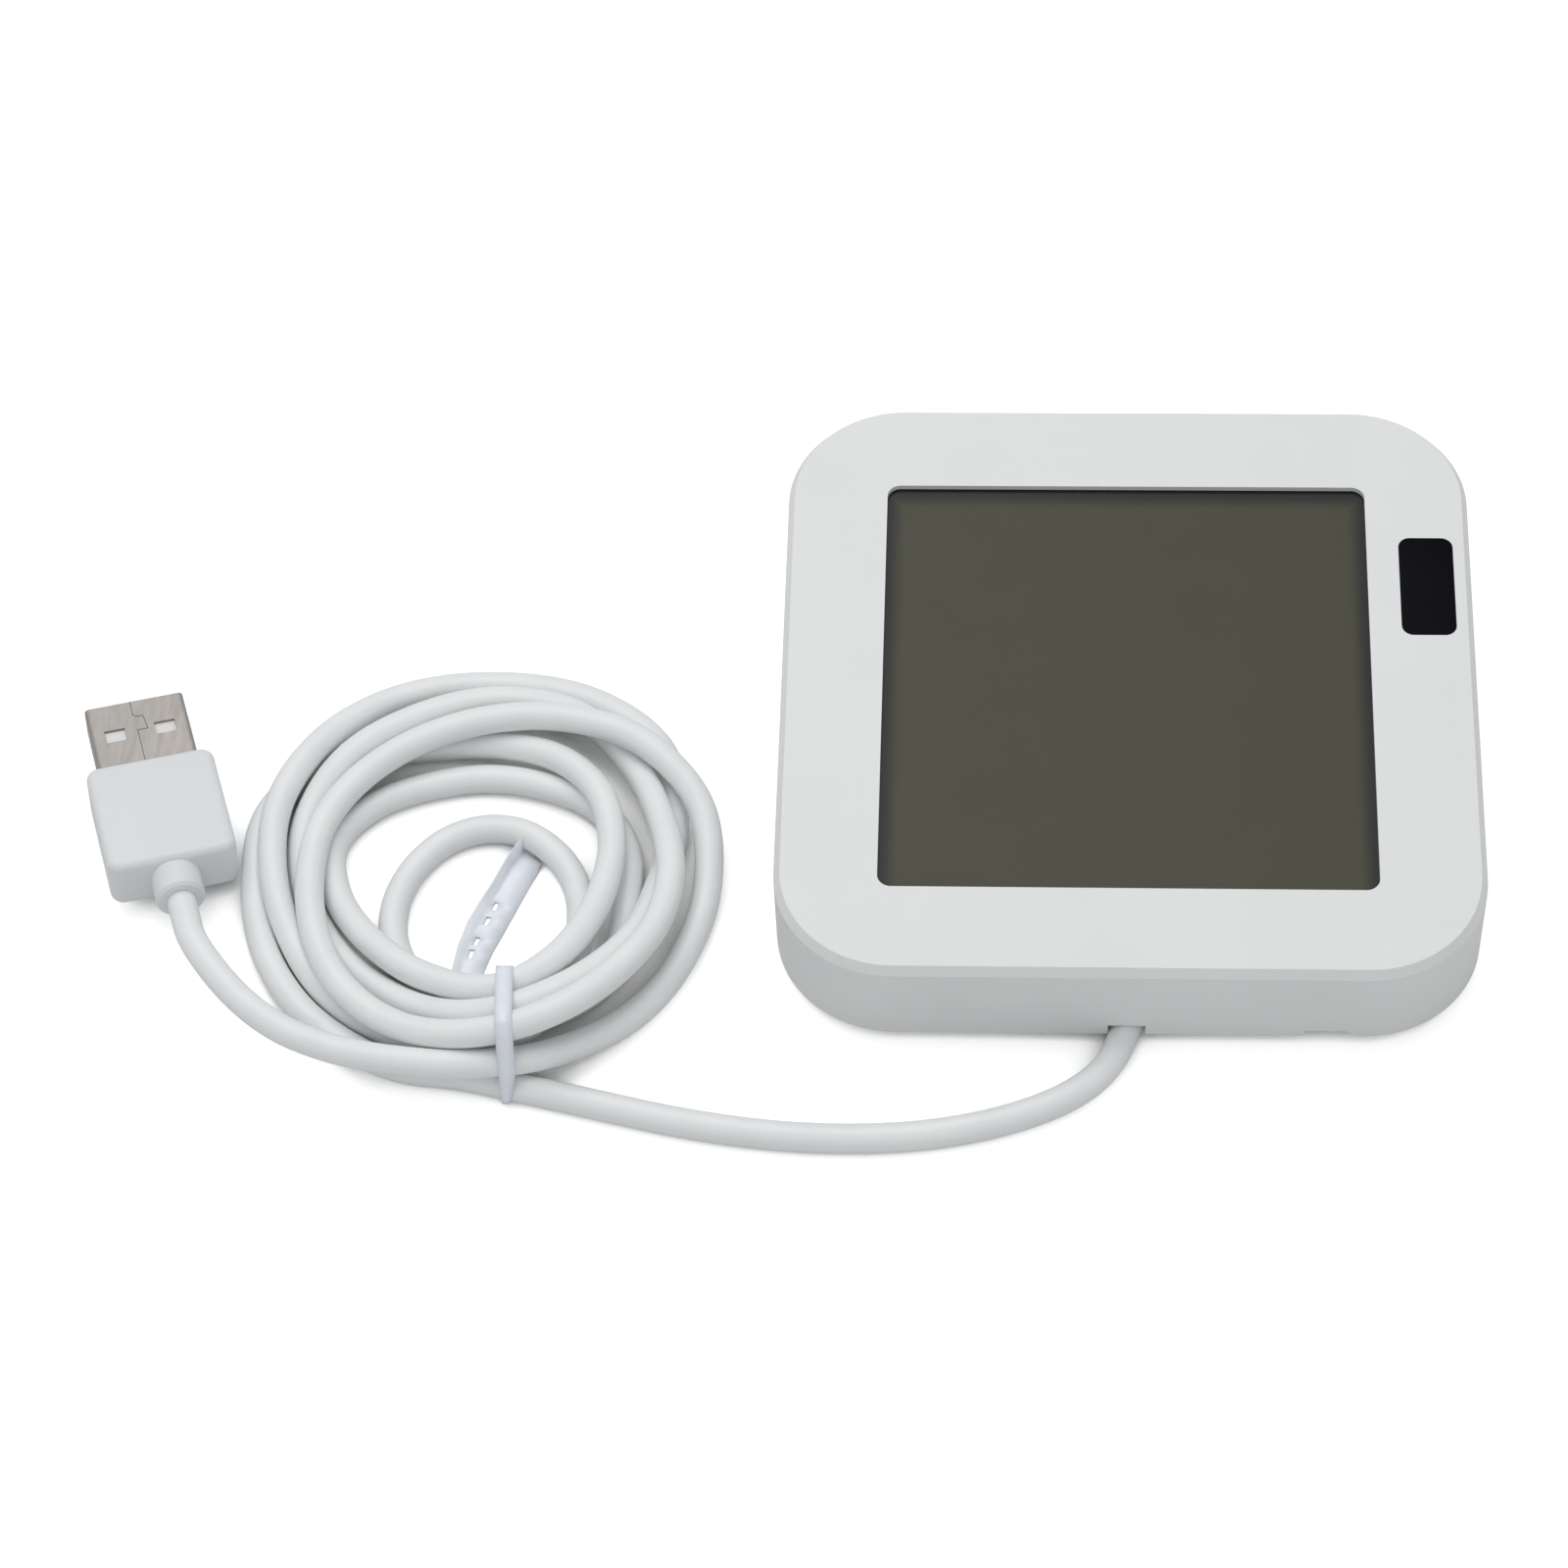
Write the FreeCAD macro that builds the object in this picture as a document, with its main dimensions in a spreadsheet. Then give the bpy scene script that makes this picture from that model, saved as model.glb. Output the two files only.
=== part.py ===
import FreeCAD, Part
import math
import os
import Sketcher

# Smart hygrometer: a square wall and desk unit with a display behind its face,
# an infrared window beside it, a stand folded into its back and a supply cord
# that leaves through its lower wall and lies coiled, with its plug, beside it.
# Frame: X to the right of the display, Y to its top, Z out of its face.
# The origin is below the middle of the housing, on the plane of the four feet.

V = FreeCAD.Vector
X_AXIS = V(1, 0, 0)
Y_AXIS = V(0, 1, 0)
Z_AXIS = V(0, 0, 1)

# Driving sizes in millimetres: alias, value, meaning
SIZES = (
    ("body_width", 82.0, "housing outline, both ways"),
    ("body_corner", 13.9, "outer corner radius of the housing"),
    ("wall_foot", 2.0, "height of the lower edge of the housing wall"),
    ("wall", 1.6, "housing wall"),
    ("face", 1.8, "front face"),
    ("bevel_reach", 1.16, "bevel round the face, across"),
    ("bevel_drop", 0.75, "bevel round the face, down"),
    ("bezel_left", 12.02, "display opening, from the housing's left side"),
    ("bezel_right", 12.38, "display opening, from the housing's right side"),
    ("bezel_high", 12.15, "display opening, from the housing's upper side"),
    ("bezel_low", 11.55, "display opening, from the housing's lower side"),
    ("screen_corner", 1.6, "display opening, corner radius"),
    ("screen_lip", 0.69, "face left over the display glass"),
    ("window_inner", 3.78, "infrared opening, from the display opening"),
    ("window_outer", 2.1, "infrared opening, from the housing's right side"),
    ("window_height", 14.45, "infrared opening, up"),
    ("window_drop", 7.62, "infrared opening, its top below the display opening's"),
    ("window_corner", 1.4, "infrared opening, corner radius"),
    ("window_flange", 1.2, "infrared window, flange past the opening"),
    ("window_depth", 2.8, "infrared window, whole depth"),
    ("window_gap", 0.05, "infrared window, gap all round"),
    ("notch_play", 0.87, "cord notch, wider than the cord"),
    ("notch_lean", 0.29, "cord notch, centre from the cord's"),
    ("notch_clear", 0.125, "cord notch above the cord"),
    ("pry_length", 6.2, "pry slot, length"),
    ("pry_inset", 14.5, "pry slot, tapered end from the housing's right side"),
    ("pry_rise", 1.0, "pry slot, height"),
    ("pry_depth", 0.6, "pry slot, depth into the wall"),
    ("pry_run", 1.5, "pry slot, length of the tapered end"),
    ("boss_inset", 7.9, "corner screws, from the housing's sides"),
    ("boss_radius", 2.0, "corner screw bosses"),
    ("boss_drop", 0.6, "corner bosses, past the main board"),
    ("thread_gap", 0.05, "screw shanks in their pilot holes"),
    ("pilot_cover", 1.4, "plastic left over the pilot holes"),
    ("stay_inset", 5.2, "board screws, from the housing's sides"),
    ("stay_low", -12.0, "lower board screws"),
    ("stay_drop", 14.0, "upper board screws, from the housing's upper side"),
    ("stay_radius", 2.1, "board screw bosses"),
    ("cover_foot", 0.5, "height of the rear cover's outer face"),
    ("cover_inset", 1.1, "rear cover inside the housing outline"),
    ("cover_plate", 1.8, "rear cover thickness"),
    ("cover_bevel", 0.7, "rear cover edge bevel"),
    ("spigot_gap", 0.12, "rear cover rim to housing wall"),
    ("spigot_wall", 1.2, "rear cover rim thickness"),
    ("spigot_height", 2.4, "rear cover rim above the wall's lower edge"),
    ("post_radius", 2.5, "rear cover screw posts"),
    ("post_gap", 0.1, "screw posts to housing bosses"),
    ("head_radius", 1.75, "screw heads"),
    ("head_height", 1.3, "screw heads"),
    ("head_seat", 3.0, "height of the seat under the corner screw heads"),
    ("head_gap", 0.15, "screw heads in their counterbores"),
    ("shank_radius", 0.95, "screw shanks"),
    ("shank_gap", 0.2, "screw shanks in their clearance holes"),
    ("screw_room", 0.8, "pilot holes past the tips of the corner screws"),
    ("stay_length", 5.2, "board screws under the head"),
    ("foot_inset", 6.5, "rubber feet, from the housing's left and right sides"),
    ("foot_rise", 18.0, "rubber feet, from the housing's upper and lower sides"),
    ("foot_radius", 3.0, "rubber feet"),
    ("foot_gap", 0.1, "rubber feet in their recesses"),
    ("foot_seat", 0.5, "depth of the foot recesses"),
    ("vent_clear", 0.45, "foam ring round the sensor, from the stand's recess"),
    ("vent_rise", 0.3, "foam ring round the sensor, from the screw post"),
    ("vent_length", 6.2, "vent slots"),
    ("vent_width", 1.1, "vent slots"),
    ("vent_pitch", 2.0, "vent slots"),
    ("vent_count", 4, "vent slots"),
    ("gasket_side", 9.8, "foam ring round the sensor, outside"),
    ("gasket_wall", 1.1, "foam ring round the sensor"),
    ("seat_gap", 0.05, "clearance between stacked inner pieces"),
    ("stand_width", 33.0, "folding stand"),
    ("stand_inset", 16.4, "folding stand, free end from the housing's lower side"),
    ("stand_hinge_y", 11.5, "folding stand, hinge axis"),
    ("stand_hinge_z", 2.05, "folding stand, hinge axis"),
    ("stand_plate", 1.5, "folding stand thickness"),
    ("stand_corner", 3.0, "folding stand, corners of the free end"),
    ("stand_barrel", 1.35, "folding stand, hinge barrel radius"),
    ("stand_gap", 0.25, "folding stand in its recess"),
    ("stop_reach", 1.95, "folding stand, stop lug from the axis"),
    ("stop_width", 0.8, "folding stand, stop lug"),
    ("stop_bite", 0.03, "stop lug past the recess edge that stops it"),
    ("hinge_room", 0.4, "hinge barrel to the upper end of its recess"),
    ("recess_roof", 1.5, "cover over the stand recess"),
    ("recess_side", 2.0, "cover beside the stand recess"),
    ("pin_radius", 0.75, "hinge pin"),
    ("pin_gap", 0.04, "hinge pin in the stand, radial"),
    ("pin_fit", 0.02, "hinge pin in the cover, radial"),
    ("grip_width", 1.0, "grip grooves of the stand"),
    ("grip_depth", 0.4, "grip grooves of the stand"),
    ("grip_pitch", 2.0, "grip grooves of the stand"),
    ("grip_count", 3, "grip grooves of the stand"),
    ("scoop_radius", 6.0, "finger scoop at the stand's free end"),
    ("scoop_depth", 1.1, "finger scoop at the stand's free end"),
    ("button_inset", 7.25, "pairing button, from the stand's recess"),
    ("button_rise", 7.0, "pairing button, above the lower feet"),
    ("button_radius", 3.0, "pairing button"),
    ("button_gap", 0.15, "pairing button in its hole"),
    ("button_sink", 0.25, "pairing button below the cover's face"),
    ("button_rim", 0.9, "pairing button, rim behind the cover"),
    ("button_rim_height", 0.4, "pairing button, rim thickness"),
    ("button_rest", 0.25, "pairing button, rim above the plate at rest"),
    ("switch_side", 6.2, "pairing switch"),
    ("switch_gap", 0.55, "pairing switch above the button's rim"),
    ("plunger_radius", 1.75, "pairing switch plunger"),
    ("plunger_gap", 0.1, "pairing switch plunger, radial"),
    ("plunger_bury", 0.8, "pairing switch plunger inside its switch"),
    ("plunger_room", 0.7, "pairing switch, bore beyond the plunger"),
    ("board_room", 4.3, "rear cover's plate to main board"),
    ("board_plate", 1.6, "main board thickness"),
    ("board_gap", 0.6, "main board to the housing wall"),
    ("board_hole_gap", 0.3, "main board round the corner bosses"),
    ("slot_width", 1.0, "heat slot round the sensor"),
    ("tongue_side", 5.4, "board tongue that carries the sensor"),
    ("panel_margin", 1.6, "display glass past its opening"),
    ("panel_ledge", 1.6, "display glass, contact ledge"),
    ("panel_gap", 0.15, "display glass in its frame"),
    ("glass", 0.7, "each display glass"),
    ("polarizer", 0.2, "each polarizing film"),
    ("polarizer_inset", 0.4, "polarizing film inside the glass edge"),
    ("guide_plate", 2.3, "backlight guide"),
    ("guide_short", 1.7, "backlight guide, room for the lamps"),
    ("frame_wall", 1.1, "display frame wall"),
    ("frame_floor", 1.1, "display frame floor"),
    ("frame_skirt", 0.8, "display frame below its floor"),
    ("frame_seat", 0.01, "display frame over the main board"),
    ("strip_width", 1.4, "rubber contact strip"),
    ("lamp_count", 4, "backlight lamps"),
    ("lamp_width", 3.2, "backlight lamps"),
    ("lamp_depth", 1.0, "backlight lamps"),
    ("lamp_height", 1.4, "backlight lamps"),
    ("rail_plate", 0.3, "board strip of the backlight lamps"),
    ("lamp_pitch", 14.0, "backlight lamps"),
    ("emitter_radius", 1.5, "infrared emitters"),
    ("emitter_rise", 4.4, "upper infrared emitter, above the window's middle"),
    ("emitter_drop", 0.2, "lower infrared emitter, below the window's middle"),
    ("receiver_drop", 5.0, "infrared receiver, below the window's middle"),
    ("receiver_width", 5.4, "infrared receiver"),
    ("receiver_depth", 4.4, "infrared receiver"),
    ("receiver_height", 2.2, "infrared receiver"),
    ("lens_radius", 1.6, "infrared receiver, lens"),
    ("sensor_side", 3.0, "humidity sensor"),
    ("sensor_height", 1.1, "humidity sensor"),
    ("port_radius", 0.5, "humidity sensor, port"),
    ("radio_width", 13.2, "radio module"),
    ("radio_length", 16.6, "radio module"),
    ("radio_plate", 0.8, "radio module, and round its shield"),
    ("radio_inset", 2.5, "radio module, inside the main board's edge"),
    ("radio_y", 12.6, "radio module, centre"),
    ("shield_length", 11.0, "radio shield"),
    ("shield_height", 1.6, "radio shield"),
    ("driver_side", 10.0, "display driver"),
    ("driver_height", 1.4, "display driver"),
    ("driver_y", -6.0, "display driver, centre"),
    ("supply_x", 5.25, "voltage regulator and first capacitor, from the stand's recess"),
    ("regulator_width", 6.5, "voltage regulator"),
    ("regulator_depth", 3.5, "voltage regulator"),
    ("regulator_height", 1.6, "voltage regulator"),
    ("regulator_y", -4.0, "voltage regulator, centre"),
    ("can_radius", 2.5, "supply capacitors"),
    ("can_height", 3.4, "supply capacitors"),
    ("can_pitch", 6.8, "supply capacitors"),
    ("can_y", 4.0, "supply capacitors, centre"),
    ("cord_radius", 1.725, "supply cord"),
    ("exit_x", -0.45, "cord where it leaves the wall"),
    ("exit_clear", 0.175, "cord over the floor where it leaves the wall"),
    ("clamp_x", 1.3, "cord in its clamp"),
    ("clamp_space", 1.35, "clamp to the stand's recess"),
    ("cord_lift", 0.025, "cord over the floor of its trough"),
    ("clamp_reach", 5.6, "clamp screws from the cord"),
    ("clamp_depth", 4.0, "clamp along the cord"),
    ("clamp_wall", 0.6, "clamp arch over the cord"),
    ("clamp_ear", 1.1, "clamp ears"),
    ("clamp_gap", 0.03, "clamp arch to the cord"),
    ("clamp_head", 1.1, "clamp screw heads"),
    ("trough_play", 0.055, "cord trough in the cover, right of the cord"),
    ("trough_reach", 1.0, "open part of the trough, short of the clamp's middle"),
    ("trough_floor", 1.5, "cover left under the inner part of the trough"),
    ("wire_radius", 0.5, "inner supply wires"),
    ("wire_pitch", 1.2, "inner supply wires"),
    ("wire_rise", 0.55, "inner supply wires, above the cord's middle at its end"),
    ("wire_climb", 0.9, "inner supply wires, climb to their connector"),
    ("wire_run", 4.35, "farther inner supply wire, before its turn"),
    ("wire_spread", 1.7, "inner supply wires, past their turns"),
    ("link_x", 11.0, "supply connector on the board"),
    ("link_space", 5.4, "supply connector, from the clamp"),
    ("link_width", 7.0, "supply connector"),
    ("link_depth", 5.6, "supply connector"),
    ("link_height", 2.4, "supply connector"),
    ("plug_width", 15.4, "plug moulding"),
    ("plug_length", 16.6, "plug moulding"),
    ("plug_height", 6.9, "plug moulding"),
    ("plug_corner", 1.6, "plug moulding, corners seen from above"),
    ("plug_round", 1.0, "plug moulding, edges"),
    ("relief_radius", 2.95, "plug strain relief"),
    ("relief_length", 3.8, "plug strain relief"),
    ("relief_round", 0.35, "plug strain relief, end edge"),
    ("shell_width", 12.0, "plug shell"),
    ("shell_height", 4.5, "plug shell"),
    ("shell_length", 10.4, "plug shell past the moulding"),
    ("shell_bury", 2.0, "plug shell inside the moulding"),
    ("shell_wall", 0.32, "plug shell"),
    ("shell_corner", 0.55, "plug shell"),
    ("latch_width", 2.5, "latch holes of the plug shell"),
    ("latch_length", 1.95, "latch holes of the plug shell"),
    ("latch_x", 3.03, "latch holes from the middle"),
    ("latch_back", 5.05, "latch holes from the open end"),
    ("plug_gap", 0.03, "inner plug pieces"),
    ("tongue_plate", 1.85, "plug tongue"),
    ("tongue_back", 0.6, "plug tongue behind the shell's open end"),
    ("blade_width", 1.0, "plug contacts"),
    ("blade_inner", 1.0, "inner plug contacts, from the middle"),
    ("blade_outer", 3.5, "outer plug contacts, from the middle"),
    ("blade_plate", 0.2, "plug contacts"),
    ("blade_length", 7.0, "plug contacts"),
    ("tie_width", 2.0, "cord tie"),
    ("tie_plate", 0.33, "cord tie"),
    ("tie_round", 1.7, "cord tie, corners of its band"),
    ("layer_lift", 0.375, "lower layer of the coil over the floor"),
    ("layer_gap", 0.47, "gap between the coil's layers"),
    ("plug_lift", 0.35, "plug moulding over the floor, at its middle"),
)

doc = FreeCAD.newDocument("Hygrometer")
sheet = doc.addObject("Spreadsheet::Sheet", "Sizes")
for row, (alias, value, meaning) in enumerate(SIZES, 1):
    sheet.set("A%d" % row, meaning)
    sheet.set("B%d" % row, str(value))
    sheet.setAlias("B%d" % row, alias)
doc.recompute()


class Size:
    """A number with the sheet expression that gives it."""

    def __init__(self, value, text):
        self.value = float(value)
        self.text = text

    def _join(self, other, sign, value):
        return Size(value, "(%s %s %s)" % (self.text, sign, other.text))

    def __add__(self, other):
        other = as_size(other)
        return self._join(other, "+", self.value + other.value)

    def __sub__(self, other):
        other = as_size(other)
        return self._join(other, "-", self.value - other.value)

    def __mul__(self, other):
        other = as_size(other)
        return self._join(other, "*", self.value * other.value)

    def __truediv__(self, other):
        other = as_size(other)
        return self._join(other, "/", self.value / other.value)

    def __neg__(self):
        return Size(-self.value, "(0 - %s)" % self.text)


def as_size(number):
    if isinstance(number, Size):
        return number
    return Size(number, "(0 - %r)" % -number if number < 0 else repr(float(number)))


class Sheet:
    """Every alias of the sheet as a Size, as in S.wall."""


S = Sheet()
for alias, value, meaning in SIZES:
    setattr(S, alias, Size(sheet.get(alias), "Sizes." + alias))


# Shared shapes

ZERO = as_size(0)


class Profile:
    """Closed outlines in one sketch, on an origin plane of its body."""

    def __init__(self, body, name, plane="XY_Plane", offset=ZERO, across=ZERO):
        role = [item for item in body.Origin.OriginFeatures if item.Role == plane][0]
        self.sketch = body.newObject("Sketcher::SketchObject", name)
        self.sketch.AttachmentSupport = [(role, "")]
        self.sketch.MapMode = "FlatFace"
        self.sketch.setExpression(".AttachmentOffset.Base.z", offset.text)
        self.sketch.setExpression(".AttachmentOffset.Base.x", across.text)

    def pin(self, item, point, across=None, up=None):
        """Hold one point of an item at a distance from the sketch's origin."""
        for kind, size in (("DistanceX", across), ("DistanceY", up)):
            if size is None:
                continue
            size = as_size(size)
            rule = Sketcher.Constraint(kind, -1, 1, item, point, size.value)
            index = self.sketch.addConstraint(rule)
            self.sketch.setExpression("Constraints[%d]" % index, size.text)

    def radius(self, item, size):
        index = self.sketch.addConstraint(Sketcher.Constraint("Radius", item, size.value))
        self.sketch.setExpression("Constraints[%d]" % index, size.text)

    def circle(self, across, up, radius):
        across = as_size(across)
        up = as_size(up)
        shape = Part.Circle(V(across.value, up.value), Z_AXIS, radius.value)
        item = self.sketch.addGeometry(shape, False)
        self.pin(item, 3, across, up)
        self.radius(item, radius)
        return self

    def polygon(self, points):
        points = [(as_size(across), as_size(up)) for across, up in points]
        spots = [V(across.value, up.value) for across, up in points]
        first = self.sketch.GeometryCount
        count = len(points)
        for index in range(count):
            line = Part.LineSegment(spots[index], spots[(index + 1) % count])
            self.sketch.addGeometry(line, False)
        for index, (across, up) in enumerate(points):
            before = first + (index - 1) % count
            self.sketch.addConstraint(Sketcher.Constraint("Coincident", before, 2, first + index, 1))
            self.pin(first + index, 1, across, up)
        return self

    def box(self, left, right, low, high):
        return self.polygon([(left, low), (right, low), (right, high), (left, high)])

    def rounded(self, left, right, low, high, radius):
        """A rectangle with four equal round corners."""
        left, right, low, high, radius = map(as_size, (left, right, low, high, radius))
        x0, x1, y0, y1, r = (size.value for size in (left, right, low, high, radius))
        ends = (((x0 + r, y0), (x1 - r, y0)), ((x1, y0 + r), (x1, y1 - r)),
                ((x1 - r, y1), (x0 + r, y1)), ((x0, y1 - r), (x0, y0 + r)))
        centres = ((x1 - r, y0 + r), (x1 - r, y1 - r), (x0 + r, y1 - r), (x0 + r, y0 + r))
        first = self.sketch.GeometryCount
        for start, end in ends:
            self.sketch.addGeometry(Part.LineSegment(V(*start), V(*end)), False)
        for index, centre in enumerate(centres):
            start = math.radians(270 + 90 * index)
            ring = Part.Circle(V(*centre), Z_AXIS, r)
            self.sketch.addGeometry(Part.ArcOfCircle(ring, start, start + math.pi / 2), False)
        for index in range(4):
            line = first + index
            arc = first + 4 + index
            after = first + (index + 1) % 4
            level = "Vertical" if index % 2 else "Horizontal"
            self.sketch.addConstraint(Sketcher.Constraint(level, line))
            self.sketch.addConstraint(Sketcher.Constraint("Tangent", line, 2, arc, 1))
            self.sketch.addConstraint(Sketcher.Constraint("Tangent", arc, 2, after, 1))
            if index:
                self.sketch.addConstraint(Sketcher.Constraint("Equal", first + 4, arc))
        self.radius(first + 4, radius)
        self.pin(first, 1, up=low)
        self.pin(first + 1, 1, across=right)
        self.pin(first + 2, 1, up=high)
        self.pin(first + 3, 1, across=left)
        return self


parts = []


def keep(item, label):
    """Name a finished sub-part, which also names its file."""
    item.Label = label
    parts.append(item)
    return item


def new_body(label):
    body = doc.addObject("PartDesign::Body", "Body_" + label)
    body.AllowCompound = True
    return keep(body, label)


def pad(body, name, profile, length, back=False):
    item = body.newObject("PartDesign::Pad", name)
    item.Profile = profile.sketch
    item.setExpression("Length", length.text)
    item.Reversed = back
    doc.recompute()
    return item


def check_less(body, before, name):
    doc.recompute()
    if not body.Shape.Volume < before - 1e-6:
        raise RuntimeError(name + " cuts nothing")


def pocket(body, name, profile, depth, along=True):
    """Cut along the sketch's normal, or against it."""
    before = body.Shape.Volume
    item = body.newObject("PartDesign::Pocket", name)
    item.Profile = profile.sketch
    item.setExpression("Length", depth.text)
    item.Reversed = along
    check_less(body, before, name)
    return item


def revolve(body, name, profile):
    """Turn a profile about the upright axis of its sketch."""
    item = body.newObject("PartDesign::Revolution", name)
    item.Profile = profile.sketch
    item.ReferenceAxis = (profile.sketch, ["V_Axis"])
    item.Angle = 360
    doc.recompute()
    return item


def origin_axis(body, role):
    return [item for item in body.Origin.OriginFeatures if item.Role == role][0]


def ring_of(body, name, originals, count=4):
    """Repeat features round the Z axis."""
    item = body.newObject("PartDesign::PolarPattern", name)
    item.Originals = originals
    item.Axis = (origin_axis(body, "Z_Axis"), [""])
    item.Angle = 360
    item.Occurrences = count
    body.Tip = item
    doc.recompute()
    return item


def row_of(body, name, originals, role, pitch, count):
    """Repeat features along an axis, the given number of times."""
    item = body.newObject("PartDesign::LinearPattern", name)
    item.Originals = originals
    item.Direction = (origin_axis(body, role), [""])
    item.setExpression("Length", (pitch * (count - 1)).text)
    item.setExpression("Occurrences", count.text)
    body.Tip = item
    doc.recompute()
    return item


def edges_where(shape, test):
    return ["Edge%d" % (index + 1) for index, edge in enumerate(shape.Edges) if test(edge)]


def dress(body, kind, name, test, size):
    """Round or bevel the edges that pass a test."""
    base = body.Tip
    item = body.newObject("PartDesign::" + kind, name)
    item.Base = (base, edges_where(base.Shape, test))
    item.setExpression("Radius" if kind == "Fillet" else "Size", size.text)
    doc.recompute()
    return item


def flat_at(height):
    """A test for edges that lie at one height."""
    def test(edge):
        box = edge.BoundBox
        return box.ZLength < 1e-4 and abs(box.ZMin - height.value) < 1e-4
    return test


def place(item, across, along, up):
    for axis, size in zip("xyz", (across, along, up)):
        item.setExpression(".Placement.Base." + axis, as_size(size).text)


def block(name, left, right, low, high, foot, top):
    """A box between six planes."""
    item = doc.addObject("Part::Box", name)
    left, right, low, high, foot, top = map(as_size, (left, right, low, high, foot, top))
    item.setExpression("Length", (right - left).text)
    item.setExpression("Width", (high - low).text)
    item.setExpression("Height", (top - foot).text)
    place(item, left, low, foot)
    return item


def block_at(name, across, along, width, depth, foot, top):
    """A box about an upright line."""
    width = as_size(width)
    depth = as_size(depth)
    across = as_size(across)
    along = as_size(along)
    return block(name, across - width / 2, across + width / 2,
                 along - depth / 2, along + depth / 2, foot, top)


def rod(name, across, along, foot, top, radius):
    """An upright cylinder."""
    item = doc.addObject("Part::Cylinder", name)
    foot = as_size(foot)
    item.setExpression("Radius", as_size(radius).text)
    item.setExpression("Height", (as_size(top) - foot).text)
    place(item, across, along, foot)
    return item


def cross_rod(name, across, along, up, length, radius, axis):
    """A level cylinder that starts at a point and runs along an axis."""
    item = doc.addObject("Part::Cylinder", name)
    item.setExpression("Radius", as_size(radius).text)
    item.setExpression("Height", as_size(length).text)
    item.Placement = FreeCAD.Placement(V(), FreeCAD.Rotation(Z_AXIS, axis))
    place(item, across, along, up)
    return item


def join(name, items):
    item = doc.addObject("Part::MultiFuse", name)
    item.Shapes = items
    return item


def cut(name, base, tool):
    item = doc.addObject("Part::Cut", name)
    item.Base = base
    item.Tool = tool
    return item


def group(name, items):
    """Separate equal pieces in one sub-part."""
    item = doc.addObject("Part::Compound", name)
    item.Links = items
    return item


def cylinder_row(body, name, profile_name, plane_offset, spots, radius):
    profile = Profile(body, profile_name, offset=plane_offset)
    for across, along in spots:
        profile.circle(across, along, radius)
    return profile


# Places shared by several pieces

half_width = S.body_width / 2
inner_half = half_width - S.wall
inner_corner = S.body_corner - S.wall
spigot_half = inner_half - S.spigot_gap

# Heights, from the feet through everything that is stacked up to the face
plate_top = S.cover_foot + S.cover_plate
board_foot = plate_top + S.board_room
board_top = board_foot + S.board_plate
frame_foot = board_top + S.frame_seat
frame_floor_top = frame_foot + S.frame_skirt + S.frame_floor
guide_foot = frame_floor_top + S.seat_gap
guide_top = guide_foot + S.guide_plate
rear_film_foot = guide_top + S.seat_gap
glass_foot = rear_film_foot + S.polarizer
glass_middle = glass_foot + S.glass
glass_top = glass_middle + S.glass
lip_under = glass_top + S.polarizer
face_top = lip_under + S.screen_lip
face_under = face_top - S.face

# Openings in the face, and the display glass behind the large one
screen_left = S.bezel_left - half_width
screen_right = half_width - S.bezel_right
screen_low = S.bezel_low - half_width
screen_high = half_width - S.bezel_high
panel_left = screen_left - S.panel_margin
panel_right = screen_right + S.panel_margin
panel_high = screen_high + S.panel_margin
panel_short = screen_low - S.panel_margin
panel_low = panel_short - S.panel_ledge
window_left = screen_right + S.window_inner
window_right = half_width - S.window_outer
window_x = (window_left + window_right) / 2
window_high = screen_high - S.window_drop
window_y = window_high - S.window_height / 2

# Screws and feet
boss_place = half_width - S.boss_inset
boss_foot = board_foot - S.boss_drop
pilot_radius = S.shank_radius + S.thread_gap
screw_length = face_under - S.pilot_cover - S.screw_room - S.head_seat
stay_x = half_width - S.stay_inset
stay_spots = [(across, along) for across in (-stay_x, stay_x)
              for along in (S.stay_low, half_width - S.stay_drop)]
foot_x = half_width - S.foot_inset
foot_y = half_width - S.foot_rise
foot_spots = [(across, along) for across in (-foot_x, foot_x) for along in (-foot_y, foot_y)]

# Stand, and what keeps clear of its recess
stand_low = S.stand_inset - half_width
recess_half = S.stand_width / 2 + S.stand_gap
recess_low = stand_low - S.stand_gap
roof_half = recess_half + S.recess_side
roof_low = recess_low - S.recess_side
vent_x = roof_half + S.vent_clear + S.gasket_side / 2
vent_y = S.post_radius - boss_place + S.vent_rise + S.gasket_side / 2
button_x = -roof_half - S.button_inset
button_y = S.button_rise - foot_y
supply_x = roof_half + S.supply_x

# Cord in the housing
exit_z = S.cord_radius + S.exit_clear
notch_half = S.cord_radius + S.notch_play / 2
notch_left = S.exit_x + S.notch_lean - notch_half
notch_right = S.exit_x + S.notch_lean + notch_half
groove_floor = S.cover_foot + S.trough_floor
clamp_y = roof_low - S.clamp_space - S.clamp_depth / 2
clamp_z = groove_floor + S.cord_lift + S.cord_radius
trough_end = clamp_y - S.trough_reach
link_y = clamp_y + S.link_space


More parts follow.
